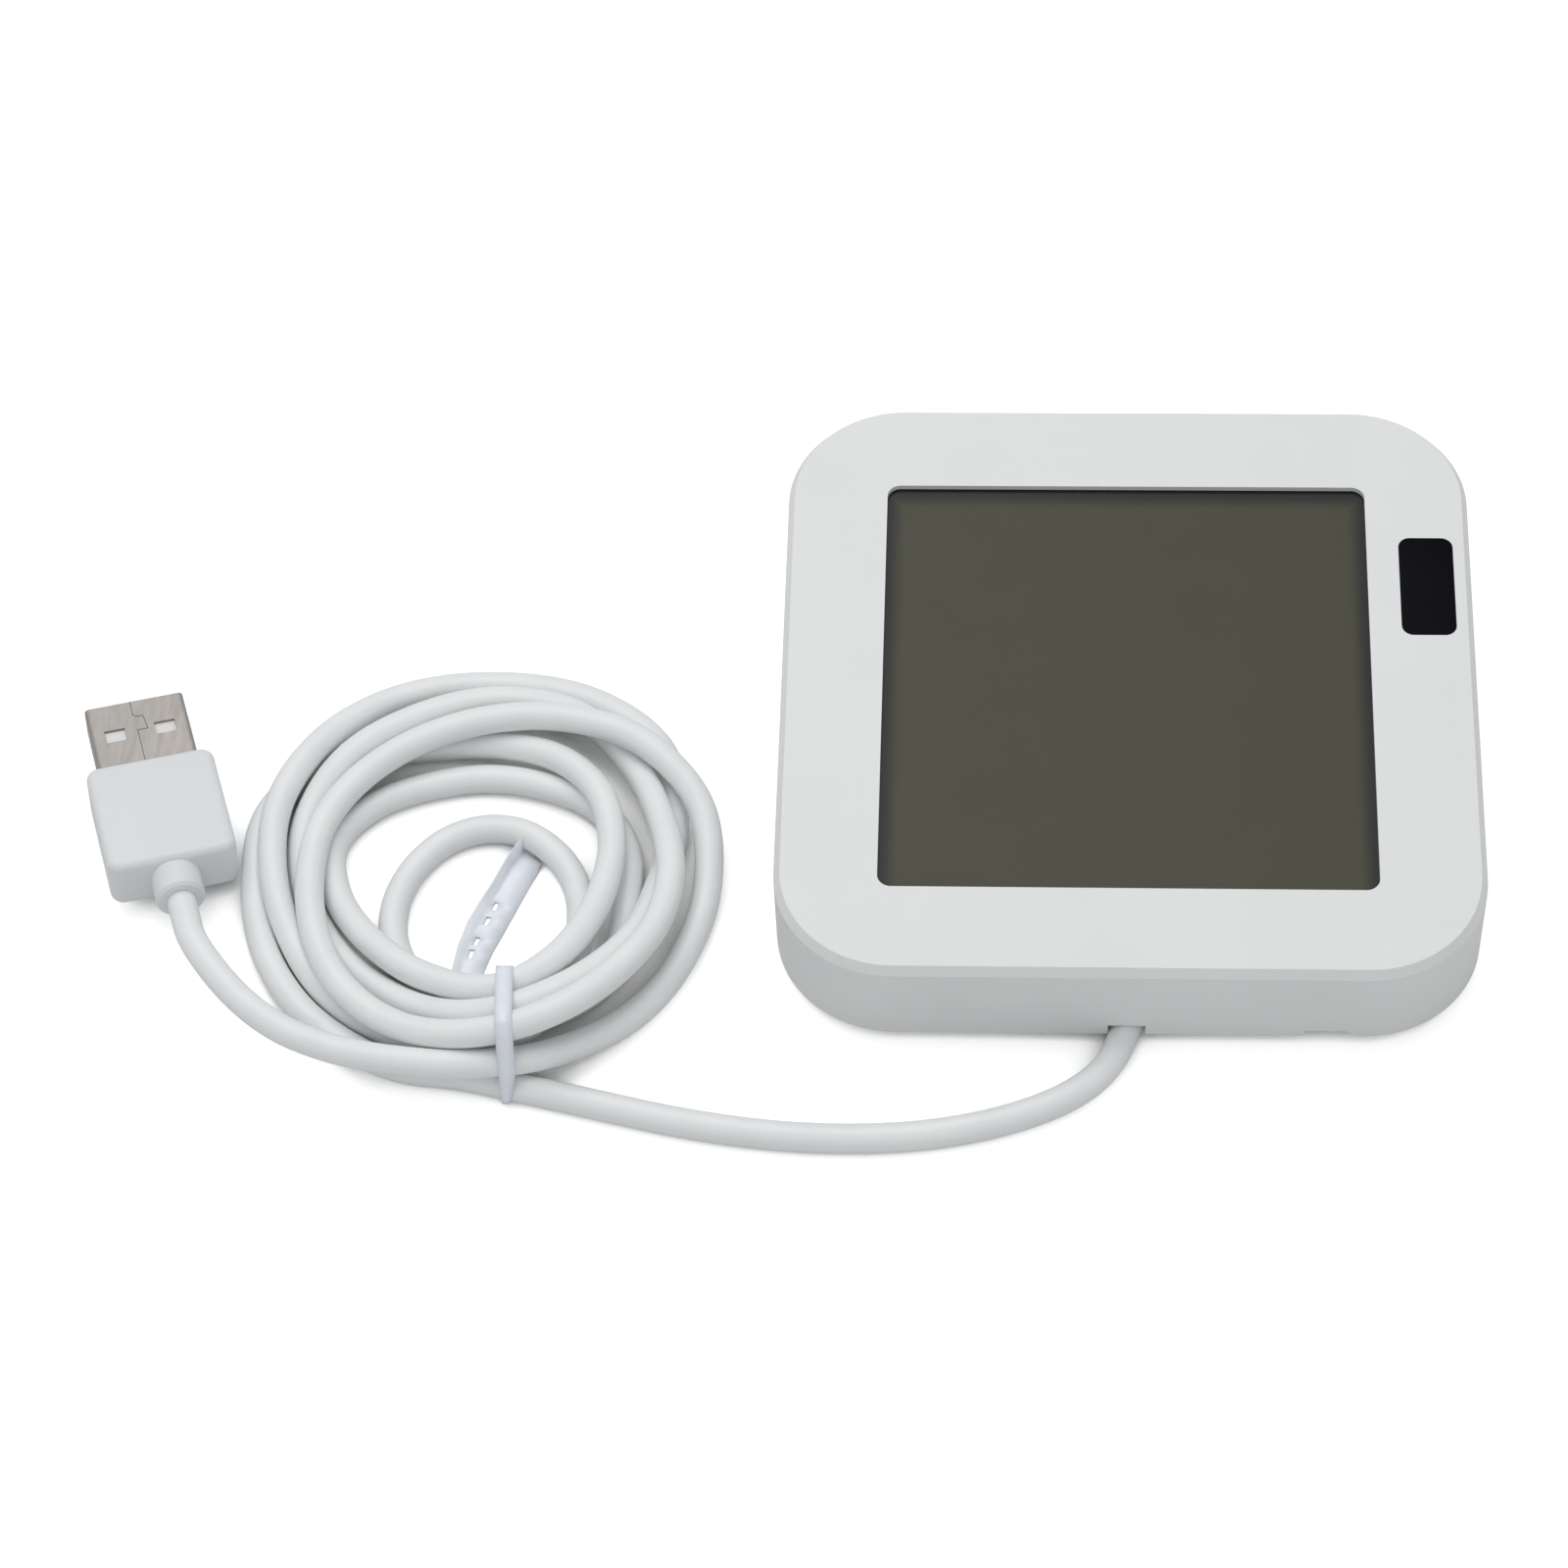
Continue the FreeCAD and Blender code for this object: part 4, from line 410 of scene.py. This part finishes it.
# %% Band round the bundle
def band_row(along, up):
    """Middle and half width of the strip at one place of its loop."""
    full = 1.0 if along > PINCH_Y else min(1.0, PINCH_TIP + up / PINCH_HEIGHT)
    middle = BAND_X - (along - BAND_Y) * BAND_LEAN - (1.0 - full) * PINCH_SHIFT
    return middle, full * BAND_WIDTH / 2


def build_band(work):
    """Cross rows of three points each, joined into a closed ring."""
    rows = []
    for along, up in rounded_loop(BAND_CORNERS, BAND_ROUNDING):
        middle, half = band_row(along, up)
        spots = [place(middle + side * half, along, up) for side in (-1, 0, 1)]
        rows.append([work.verts.new(spot) for spot in spots])
    for row, after in zip(rows, rows[1:] + rows[:1]):
        join_rows(work, row, after)


tie_band = mesh_piece("tie_band", build_band)
solidify(tie_band, BAND_PLATE * MM)
print("the band has", len(tie_band.data.vertices), "points")

# %% [markdown]
# The tail follows three lines, each from the band's end to the free end: the raised
# left edge, the fold at its foot and the right edge. Each number in HOLES is where a
# hole starts, as a share of the tail's length. The two sides of a hole are shares of
# the width from the fold to the right edge, and that column is left open there.

# %% Lines and holes of the tail
TAIL_EDGE = (
    (-73.2, -34.7, 0.6), (-79.0, -32.5, 0.9), (-78.5, -29.1, 1.0), (-77.6, -25.8, 1.1),
    (-76.3, -22.9, 1.2), (-75.0, -20.4, 1.4), (-73.6, -17.4, 1.8), (-71.7, -15.1, 3.3),
)
TAIL_FOLD = (
    (-72.8, -34.9, 0.4), (-78.5, -32.6, 0.2), (-77.8, -28.9, 0.2), (-76.7, -25.7, 0.2),
    (-75.5, -22.6, 0.2), (-74.3, -19.8, 0.2), (-73.1, -17.1, 0.4), (-71.7, -15.7, 0.8),
)
TAIL_RIGHT = (
    (-71.4, -35.1, 0.3), (-75.6, -33.0, 0.2), (-74.5, -29.5, 0.2), (-73.3, -26.7, 0.2),
    (-72.1, -23.7, 0.2), (-70.9, -20.7, 0.2), (-70.0, -18.6, 0.3), (-69.5, -17.1, 0.5),
)
HOLES = (0.231, 0.309, 0.441, 0.539)
HOLE_LENGTH = 0.05
HOLE_SIDES = (0.2, 0.35)
HOLE_COLUMN = 2
print(len(HOLES), "holes in the tail")

# %% Flat tail with its raised edge and its holes
TAIL_PLATE = 0.2
TAIL_STEPS = 14


def along_line(line, share):
    """A point at a share of the way along a list of points."""
    reach = share * (len(line) - 1)
    index = min(int(reach), len(line) - 2)
    return Vector(line[index]).lerp(Vector(line[index + 1]), reach - index)


def tail_row(share):
    """One cross row: the raised edge, the fold, both sides of a hole, the other edge."""
    edge, fold, right = (along_line(line, share)
                         for line in (TAIL_EDGE, TAIL_FOLD, TAIL_RIGHT))
    return [edge, fold] + [fold.lerp(right, side) for side in (*HOLE_SIDES, 1.0)]


def build_tail(work):
    """Cross rows with a break between the fold and the far edge wherever a hole is."""
    hole_ends = [end for hole in HOLES for end in (hole, hole + HOLE_LENGTH)]
    shares = sorted([step / TAIL_STEPS for step in range(TAIL_STEPS + 1)] + hole_ends)
    rows = [[work.verts.new(place(*spot)) for spot in tail_row(share)] for share in shares]
    for start, row, after in zip(shares, rows, rows[1:]):
        in_hole = any(hole <= start < hole + HOLE_LENGTH for hole in HOLES)
        join_rows(work, row, after, HOLE_COLUMN if in_hole else None)


tie_tail = mesh_piece("tie_tail", build_tail)
solidify(tie_tail, TAIL_PLATE * MM)
tie_tail.parent = tie_band
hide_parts("cord_tie")
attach(tie_band, "housing")
print("the tail has", len(tie_tail.data.vertices), "points")

# %% [markdown]
# ## Seam of the plug's shell
# The shell is one sheet of steel folded round, and its two edges meet in a fine
# line with a small interlocking tab. Cutting the line through a thin solid would
# cost many faces, so a dark hairline lies on the surface instead, two hundredths of
# a millimetre proud of it.

# %% Seam line
SHELL_HALF = 2.25
SEAM_LIFT = 0.012
SEAM_PLATE = 0.02
SEAM_WIDTH = 0.08
SEAM_LINE = (
    (-0.3, 0.1), (-0.3, 5.6), (0.95, 5.6), (0.7, 7.8), (-0.1, 7.8), (-0.45, 8.2),
    (-0.45, 10.3),
)


def build_seam(work):
    """One thin rectangle for each stretch of the line, on top of the shell."""
    level = SHELL_HALF + SEAM_LIFT
    for start, end in zip(SEAM_LINE, SEAM_LINE[1:]):
        start, end = Vector(start), Vector(end)
        along = (end - start).normalized() * SEAM_WIDTH / 2
        side = Vector((-along.y, along.x))
        corners = (start - along - side, start - along + side,
                   end + along + side, end + along - side)
        work.faces.new([work.verts.new(plug_place @ place(spot.x, spot.y, level))
                        for spot in corners])


shell_seam = mesh_piece("shell_seam", build_seam)
solidify(shell_seam, SEAM_PLATE * MM)
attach(shell_seam, "housing")
print("the seam has", len(SEAM_LINE) - 1, "stretches")

# %% [markdown]
# ## Material helpers
# A colour is written as the numbers from 0 to 255 that a paint program shows, and a
# helper turns these into the linear values that a shader needs. A second helper makes
# the Math nodes with which a few of the finishes reckon.

# %% Helpers for colours and numbers
WHITE = (1.0, 1.0, 1.0, 1.0)


def linear(red, green, blue):
    """Display colour 0 to 255 to the shader's linear colour, by the sRGB curve."""
    def channel(value):
        value /= 255
        return value / 12.92 if value <= 0.04045 else ((value + 0.055) / 1.055) ** 2.4
    return (channel(red), channel(green), channel(blue), 1.0)


def math_node(tree, operation, first, second=0.0):
    """Output of one Math node. Each input is a number or another node's output."""
    item = tree.nodes.new("ShaderNodeMath")
    item.operation = operation
    for socket, value in zip(item.inputs, (first, second)):
        if isinstance(value, float):
            socket.default_value = value
        else:
            tree.links.new(value, socket)
    return item.outputs[0]


print("white 255 is", linear(255, 255, 255)[0])

# %% [markdown]
# Every finish starts from the Principled shader. Noise textures in object space give
# each surface its small unevenness at a real scale: in its tone, in its roughness,
# and as relief, which Bump makes from noise. A class keeps a material's nodes
# together, so that each finish below is a few lines.

# %% A finish and how a piece gets it
class Finish:
    """A material under construction: its node tree and its main shader."""

    def __init__(self, name, colour, roughness, **sockets):
        self.material = bpy.data.materials.new(name)
        self.material.use_nodes = True
        self.tree = self.material.node_tree
        self.shader = self.tree.nodes["Principled BSDF"]
        self.shader.inputs["Base Color"].default_value = linear(*colour)
        self.shader.inputs["Roughness"].default_value = roughness
        for socket, value in sockets.items():
            self.shader.inputs[socket.replace("_", " ")].default_value = value
        self.where = self.tree.nodes.new("ShaderNodeTexCoord").outputs["Object"]

    def node(self, kind, **settings):
        """A new node with some of its settings changed."""
        item = self.tree.nodes.new(kind)
        for key, value in settings.items():
            setattr(item, key, value)
        return item

    def link(self, start, end):
        """A wire from one node's output to another's input."""
        self.tree.links.new(start, end)

    def noise(self, size, detail=2.0, stretch=(1, 1, 1)):
        """Noise whose grains are about size millimetres across."""
        spread = self.node("ShaderNodeMapping")
        spread.inputs["Scale"].default_value = stretch
        self.link(self.where, spread.inputs["Vector"])
        grain = self.node("ShaderNodeTexNoise")
        grain.inputs["Scale"].default_value = 1 / (size * MM)
        grain.inputs["Detail"].default_value = detail
        self.link(spread.outputs["Vector"], grain.inputs["Vector"])
        return grain.outputs["Fac"]

    def relief(self, height, depth, strength):
        """Bump of a depth in millimetres."""
        bump = self.node("ShaderNodeBump")
        bump.inputs["Strength"].default_value = strength
        bump.inputs["Distance"].default_value = depth * MM
        self.link(height, bump.inputs["Height"])
        self.link(bump.outputs["Normal"], self.shader.inputs["Normal"])

    def blend(self, share, first, second, low=0.0, high=1.0):
        """Base colour that goes from one display colour to another."""
        ramp = self.node("ShaderNodeValToRGB")
        ramp.color_ramp.elements[0].position = low
        ramp.color_ramp.elements[1].position = high
        ramp.color_ramp.elements[0].color = linear(*first)
        ramp.color_ramp.elements[1].color = linear(*second)
        self.link(share, ramp.inputs["Fac"])
        self.link(ramp.outputs["Color"], self.shader.inputs["Base Color"])

    def vary_roughness(self, share, low, high):
        """Roughness that goes from one value to another."""
        spread = self.node("ShaderNodeMapRange")
        spread.inputs["To Min"].default_value = low
        spread.inputs["To Max"].default_value = high
        self.link(share, spread.inputs["Value"])
        self.link(spread.outputs["Result"], self.shader.inputs["Roughness"])


def dress(finish, *items):
    """Give the finish to CAD nodes, by name, or to new pieces."""
    for item in items:
        piece = nodes[item] if isinstance(item, str) else item
        piece.data.materials.clear()
        piece.data.materials.append(finish.material)


print(len(nodes), "nodes and a few new pieces to dress")

# %% [markdown]
# ## White moulded plastic
# The housing is satin white plastic with a very fine spark-eroded grain. It could be
# a flat white, but up close the grain breaks the highlight and large faint tone
# changes keep it from looking like paper. Three noises do it: a broad one for tone,
# a fine one for grain and a middle one for roughness.

# %% Housing plastic
def moulded_plastic(name, colour, shade, roughness=0.42, grain=0.12, depth=0.004):
    """Satin plastic between two tones, with a grain of a size and depth in millimetres."""
    finish = Finish(name, colour, roughness)
    finish.blend(finish.noise(14.0, detail=3.0), shade, colour, low=0.3, high=0.7)
    finish.vary_roughness(finish.noise(2.5), low=roughness - 0.04, high=roughness + 0.06)
    finish.relief(finish.noise(grain), depth, strength=0.35)
    return finish


dress(moulded_plastic("housing_plastic", (232, 233, 233), (229, 230, 230)),
      "front_housing")
dress(moulded_plastic("cover_plastic", (229, 231, 232), (225, 227, 228),
                      roughness=0.5, grain=0.16, depth=0.006), "rear_cover")
dress(moulded_plastic("stand_plastic", (228, 230, 231), (224, 226, 227),
                      roughness=0.5, grain=0.16, depth=0.006), "kickstand")
dress(moulded_plastic("button_plastic", (206, 209, 212), (201, 204, 207),
                      roughness=0.38, grain=0.1, depth=0.003), "pairing_button")
print("four moulded plastics")

# %% [markdown]
# ## The display
# Switched off, the display is a dark olive pane under a polarizing film. Painted shade
# darkens it towards its upper edge and its sides, and not towards the lower edge. It
# stands for the shadow that the rim of the opening throws into the recess. A distance from
# the pane's own edges places that painted shade wherever the pane is seen from: the
# smallest of the three distances says how dark a place is. The upper edge counts as
# TOP_SHADE lower than it is, because the painted shade reaches further in there.

# %% Display film
SCREEN_X = -0.18
SCREEN_Y = -0.30
SCREEN_HALF_X = 28.8
SCREEN_HALF_Y = 29.15
PANE_COLOUR = (62, 61, 44)
# Painted shade: the near black that the pane is darkened to at its sides and upper edge,
# where the rim of the opening throws its shadow.
PAINTED_EDGE_SHADE = (14, 15, 17)
PAINTED_SHADE_WIDTH = 2.6
TOP_SHADE = 0.7


def edge_distance(finish):
    """Metres from the nearest of the pane's two sides and its upper edge."""
    tree = finish.tree
    split = finish.node("ShaderNodeSeparateXYZ")
    finish.link(finish.where, split.inputs[0])
    across = math_node(tree, "SUBTRACT", split.outputs["X"], SCREEN_X * MM)
    off_middle = math_node(tree, "ABSOLUTE", across)
    from_side = math_node(tree, "SUBTRACT", SCREEN_HALF_X * MM, off_middle)
    top = (SCREEN_Y + SCREEN_HALF_Y - TOP_SHADE) * MM
    from_top = math_node(tree, "SUBTRACT", top, split.outputs["Y"])
    return math_node(tree, "MINIMUM", from_side, from_top)


def display_film():
    """A satin film with painted shade that darkens it towards the upper edge and the
    sides.
    """
    finish = Finish("display_film", PANE_COLOUR, roughness=0.34, Specular_IOR_Level=0.22)
    # Painted shade: over its last millimetres the pane's colour blends into the near black
    # at the sides and the upper edge.
    fade = finish.node("ShaderNodeMapRange", interpolation_type="SMOOTHERSTEP")
    fade.inputs["From Max"].default_value = PAINTED_SHADE_WIDTH * MM
    finish.link(edge_distance(finish), fade.inputs["Value"])
    finish.blend(fade.outputs["Result"], PAINTED_EDGE_SHADE, PANE_COLOUR)
    finish.vary_roughness(finish.noise(9.0, detail=3.0), low=0.28, high=0.36)
    finish.relief(finish.noise(0.06, detail=1.0), depth=0.001, strength=0.2)
    return finish


dress(display_film(), "front_polarizer")
print("the display fades over its last", PAINTED_SHADE_WIDTH, "mm")

# %% [markdown]
# ## Infrared window
# The small window is dyed so deep that it looks black, and it is polished. A low
# roughness keeps its reflection sharp, and a low specular level keeps it faint, as
# in the photograph. A little noise in both tone and roughness keeps it alive.

# %% Infrared window
def window_plastic():
    """Polished plastic that is nearly black."""
    finish = Finish("window_plastic", (4, 5, 9), roughness=0.12, Specular_IOR_Level=0.03)
    finish.vary_roughness(finish.noise(3.0), low=0.08, high=0.16)
    finish.blend(finish.noise(6.0), (3, 4, 9), (6, 7, 13), low=0.35, high=0.65)
    return finish


dress(window_plastic(), "infrared_window")
print("black window finished")

# %% [markdown]
# ## Cord and plug
# The cord's jacket is soft white plastic, a little glossier than the housing, with
# the faint unevenness that extrusion leaves. The plug is moulded on in a slightly
# darker white with a fine grain, and its shell is nickel plated steel.

# %% Cord jacket and plug moulding
def jacket():
    """Soft white plastic with a faint, fine unevenness."""
    finish = Finish("cord_jacket", (238, 239, 239), roughness=0.4)
    finish.blend(finish.noise(7.0, detail=3.0), (235, 237, 237), (240, 241, 241),
                 low=0.3, high=0.7)
    finish.vary_roughness(finish.noise(1.5), low=0.36, high=0.46)
    finish.relief(finish.noise(0.5), depth=0.006, strength=0.3)
    return finish


dress(jacket(), supply_cord)
dress(moulded_plastic("plug_plastic", (228, 230, 231), (224, 226, 228),
                      roughness=0.4, grain=0.1, depth=0.003),
      "plug_moulding", "plug_strain_relief")
print("jacket and moulding finished")

# %% [markdown]
# Metal that was drawn or rolled has its grain in one direction. The noise of the
# next finishes is stretched for that: a scale below 1 makes the grains longer along
# that axis.

# %% Shell steel, contacts and tongue
def brushed_metal(name, colour, shade, roughness, stretch):
    """Metal between two tones, with a fine grain stretched along one axis."""
    finish = Finish(name, colour, roughness, Metallic=1.0)
    finish.blend(finish.noise(0.8, detail=3.0, stretch=stretch), shade, colour,
                 low=0.3, high=0.7)
    finish.vary_roughness(finish.noise(0.5, stretch=stretch),
                          low=roughness - 0.06, high=roughness + 0.08)
    finish.relief(finish.noise(0.08, stretch=stretch), depth=0.002, strength=0.25)
    return finish


dress(brushed_metal("shell_steel", (156, 152, 148), (142, 138, 134),
                    roughness=0.3, stretch=(1, 0.15, 1)), "plug_shell")
dress(brushed_metal("screw_steel", (178, 178, 180), (150, 150, 154),
                    roughness=0.34, stretch=(1, 1, 0.2)),
      "housing_screws", "board_screws", "clamp_screws", "stand_hinge_pin")
dress(brushed_metal("contact_gold", (226, 188, 104), (206, 168, 88),
                    roughness=0.24, stretch=(1, 0.3, 1)), "plug_contacts")
seam_shadow = Finish("seam_shadow", (96, 92, 88), roughness=0.5, Metallic=1.0)
seam_shadow.blend(seam_shadow.noise(0.6), (82, 78, 74), (112, 108, 104))
dress(seam_shadow, shell_seam)
dress(moulded_plastic("tongue_plastic", (236, 236, 234), (230, 230, 228), roughness=0.45),
      "plug_tongue")
print("metals finished")

# %% [markdown]
# ## Translucent tie
# The tie is milky film: some light passes through, but no clear picture does. A
# little transmission with a fair roughness gives that, and a bluish tint matches
# its cast.

# %% Tie film
def milky_film():
    """Bluish white film that lets a little light through."""
    finish = Finish("tie_film", (244, 248, 255), roughness=0.3,
                    Transmission_Weight=0.06, IOR=1.5)
    finish.blend(finish.noise(2.0), (239, 244, 255), (247, 250, 255), low=0.3, high=0.7)
    finish.relief(finish.noise(0.4), depth=0.01, strength=0.3)
    return finish


dress(milky_film(), tie_band, tie_tail)
print("tie finished")

# %% [markdown]
# ## Feet and inner pieces
# The four feet are pale rubber pads. The pieces inside the housing are rarely seen,
# but each kind still has its own finish, so that an opened model looks right: green
# board, black chips, tinned shield, pale frame.

# %% Feet
def soft_rubber(name, colour, shade):
    """Dull rubber or foam between two tones."""
    finish = Finish(name, colour, roughness=0.75)
    finish.blend(finish.noise(1.2, detail=3.0), shade, colour)
    finish.relief(finish.noise(0.2), depth=0.01, strength=0.4)
    return finish


dress(soft_rubber("foot_rubber", (198, 200, 203), (188, 190, 194)), "rubber_feet")
dress(soft_rubber("contact_rubber", (52, 52, 54), (42, 42, 44)), "contact_strip")
dress(soft_rubber("gasket_foam", (44, 44, 46), (34, 34, 36)), "sensor_gasket")
print("rubbers finished")

# %% Inner pieces
def circuit_laminate():
    """Green lacquer over copper tracks."""
    finish = Finish("circuit_laminate", (24, 96, 58), roughness=0.35)
    finish.blend(finish.noise(0.9, stretch=(3, 1, 1)), (18, 84, 50), (30, 104, 64),
                 low=0.4, high=0.6)
    finish.relief(finish.noise(0.35, detail=1.0, stretch=(4, 1, 1)),
                  depth=0.01, strength=0.4)
    return finish


def clear_sheet(name, colour, share):
    """Glass or clear plastic that lets a share of the light through."""
    finish = Finish(name, colour, roughness=0.15, Transmission_Weight=share, IOR=1.49)
    finish.vary_roughness(finish.noise(4.0), low=0.1, high=0.22)
    return finish


dress(circuit_laminate(), "main_board", "radio_module")
dress(moulded_plastic("chip_resin", (34, 34, 36), (26, 26, 28), roughness=0.5, grain=0.1),
      "display_driver", "voltage_regulator", "infrared_receiver", "humidity_sensor")
dress(moulded_plastic("switch_resin", (58, 58, 60), (48, 48, 50),
                      roughness=0.45, grain=0.1), "pairing_switch", "switch_plunger")
dress(brushed_metal("shield_tin", (205, 204, 200), (190, 189, 186),
                    roughness=0.32, stretch=(1, 0.2, 1)), "radio_shield")
dress(brushed_metal("can_aluminium", (214, 216, 219), (196, 198, 202),
                    roughness=0.3, stretch=(1, 1, 0.1)), "supply_capacitors")
dress(clear_sheet("screen_glass", (190, 196, 190), share=0.8), "front_glass", "rear_glass")
dress(clear_sheet("guide_acrylic", (232, 236, 236), share=0.6), "light_guide")
dress(clear_sheet("emitter_resin", (186, 196, 220), share=0.7), "infrared_emitters")
dress(moulded_plastic("rear_film", (90, 92, 84), (82, 84, 76), roughness=0.3),
      "rear_polarizer")
dress(moulded_plastic("lamp_resin", (238, 226, 168), (230, 218, 158),
                      roughness=0.4, grain=0.2), "backlight_lamps")
dress(moulded_plastic("frame_plastic", (230, 230, 226), (222, 222, 218), roughness=0.5),
      "display_frame", "cord_clamp")
dress(moulded_plastic("connector_nylon", (238, 238, 232), (230, 230, 224), roughness=0.5),
      "supply_connector")
dress(moulded_plastic("wire_jacket", (186, 44, 38), (170, 36, 32), roughness=0.4),
      "supply_wires")
print("inner pieces finished")

# %% [markdown]
# ## Floor
# The object lies on a plain white sweep, which is one large square here. It lies a
# hundredth of a millimetre under the feet, because two faces in one plane would show
# through each other.

# %% Floor
FLOOR_HALF = 1600.0
FLOOR_GAP = 0.01


def build_floor(work):
    """One large square at the height of the feet."""
    corners = [(-1, -1), (1, -1), (1, 1), (-1, 1)]
    work.faces.new([work.verts.new(place(x * FLOOR_HALF, y * FLOOR_HALF, 0))
                    for x, y in corners])


floor = mesh_piece("floor", build_floor)
floor.location.z = -FLOOR_GAP * MM
print("floor", 2 * FLOOR_HALF * MM, "m wide")

# %% [markdown]
# A floor lit to pure white would need more light than the white housing can take. So the
# floor is a light grey that takes the object's shadow like any surface, and only the
# camera, straight or through a clear piece, sees a white glow added to it. Where light
# falls freely the sum is above white. In the narrow gaps between the strands the glow
# fades with the floor's openness, as it does in the photograph, so the gaps stay dark with
# painted shade.

# %% Finish of the floor
FLOOR_GLOW = 0.62
OPENNESS_REACH = 12.0
OPENNESS_SAMPLES = 8
DARK_BELOW = 0.18
FULL_ABOVE = 0.42


def floor_sweep():
    """Light grey, with a white glow that only the camera sees and that gives way to
    painted shade in narrow gaps.
    """
    finish = Finish("floor_sweep", (226, 226, 226), roughness=0.9)
    finish.blend(finish.noise(60.0), (224, 224, 224), (228, 228, 228))
    glow = finish.node("ShaderNodeEmission")
    glow.inputs["Color"].default_value = WHITE
    rays = finish.node("ShaderNodeLightPath")
    # Painted shade: the glow is taken away where strands hem the floor in, so the narrow
    # gaps go dark.
    openness = finish.node("ShaderNodeAmbientOcclusion", samples=OPENNESS_SAMPLES)
    openness.inputs["Distance"].default_value = OPENNESS_REACH * MM
    fade = finish.node("ShaderNodeMapRange", interpolation_type="SMOOTHSTEP")
    fade.inputs["From Min"].default_value = DARK_BELOW
    fade.inputs["From Max"].default_value = FULL_ABOVE
    fade.inputs["To Max"].default_value = FLOOR_GLOW
    finish.link(openness.outputs["AO"], fade.inputs["Value"])
    seen = math_node(finish.tree, "MAXIMUM", rays.outputs["Is Camera Ray"],
                     rays.outputs["Is Transmission Ray"])
    strength = math_node(finish.tree, "MULTIPLY", seen, fade.outputs["Result"])
    finish.link(strength, glow.inputs["Strength"])
    both = finish.node("ShaderNodeAddShader")
    finish.link(finish.shader.outputs[0], both.inputs[0])
    finish.link(glow.outputs[0], both.inputs[1])
    finish.link(both.outputs[0], finish.tree.nodes["Material Output"].inputs["Surface"])
    return finish


dress(floor_sweep(), floor)
print("the floor glows with", FLOOR_GLOW)

# %% [markdown]
# ## Light
# The photograph has the even light of a small product tent: most of it comes from
# above, the walls get what the table throws back, and shadows are faint. The world
# gives the even part. The camera and mirrored rays see it as plain white, like the
# walls of the tent.

# %% World
WORLD_COLOUR = (0.97, 0.985, 1.0, 1.0)
WORLD_LEVEL = 0.5


def light_world():
    """Even bluish white light, and plain white for the camera and in reflections."""
    world = bpy.data.worlds.new("studio")
    scene.world = world
    world.use_nodes = True
    tree = world.node_tree
    even = tree.nodes["Background"]
    even.inputs["Color"].default_value = WORLD_COLOUR
    even.inputs["Strength"].default_value = WORLD_LEVEL
    white = tree.nodes.new("ShaderNodeBackground")
    white.inputs["Color"].default_value = WHITE
    white.inputs["Strength"].default_value = 1.0
    rays = tree.nodes.new("ShaderNodeLightPath")
    seen = math_node(tree, "MAXIMUM", rays.outputs["Is Camera Ray"],
                     rays.outputs["Is Glossy Ray"])
    mix = tree.nodes.new("ShaderNodeMixShader")
    tree.links.new(seen, mix.inputs["Fac"])
    tree.links.new(even.outputs[0], mix.inputs[1])
    tree.links.new(white.outputs[0], mix.inputs[2])
    tree.links.new(mix.outputs[0], tree.nodes["World Output"].inputs["Surface"])


light_world()
print("the world's light has strength", WORLD_LEVEL)

# %% [markdown]
# A large lamp above gives the top its brightness, and a weaker one from the front
# keeps the lower wall from going dark. An area lamp suits both, because its size
# keeps the shadows soft.

# %% Lamps
LAMP_TARGET = place(-30, -10, 0)


def lamp(name, spot, target, size, watts):
    """A square soft lamp, its size in metres, that looks at a point."""
    data = bpy.data.lights.new(name, "AREA")
    data.size = size
    data.energy = watts
    item = bpy.data.objects.new(name, data)
    scene.collection.objects.link(item)
    item.location = spot
    item.rotation_euler = (target - spot).to_track_quat("-Z", "Y").to_euler()


lamp("lamp_above", place(-200, 350, 1000), LAMP_TARGET, size=0.9, watts=5.0)
lamp("lamp_front", place(150, -900, 500), LAMP_TARGET, size=0.7, watts=0.6)
scene.view_settings.view_transform = "Standard"
print("two lamps and the world")
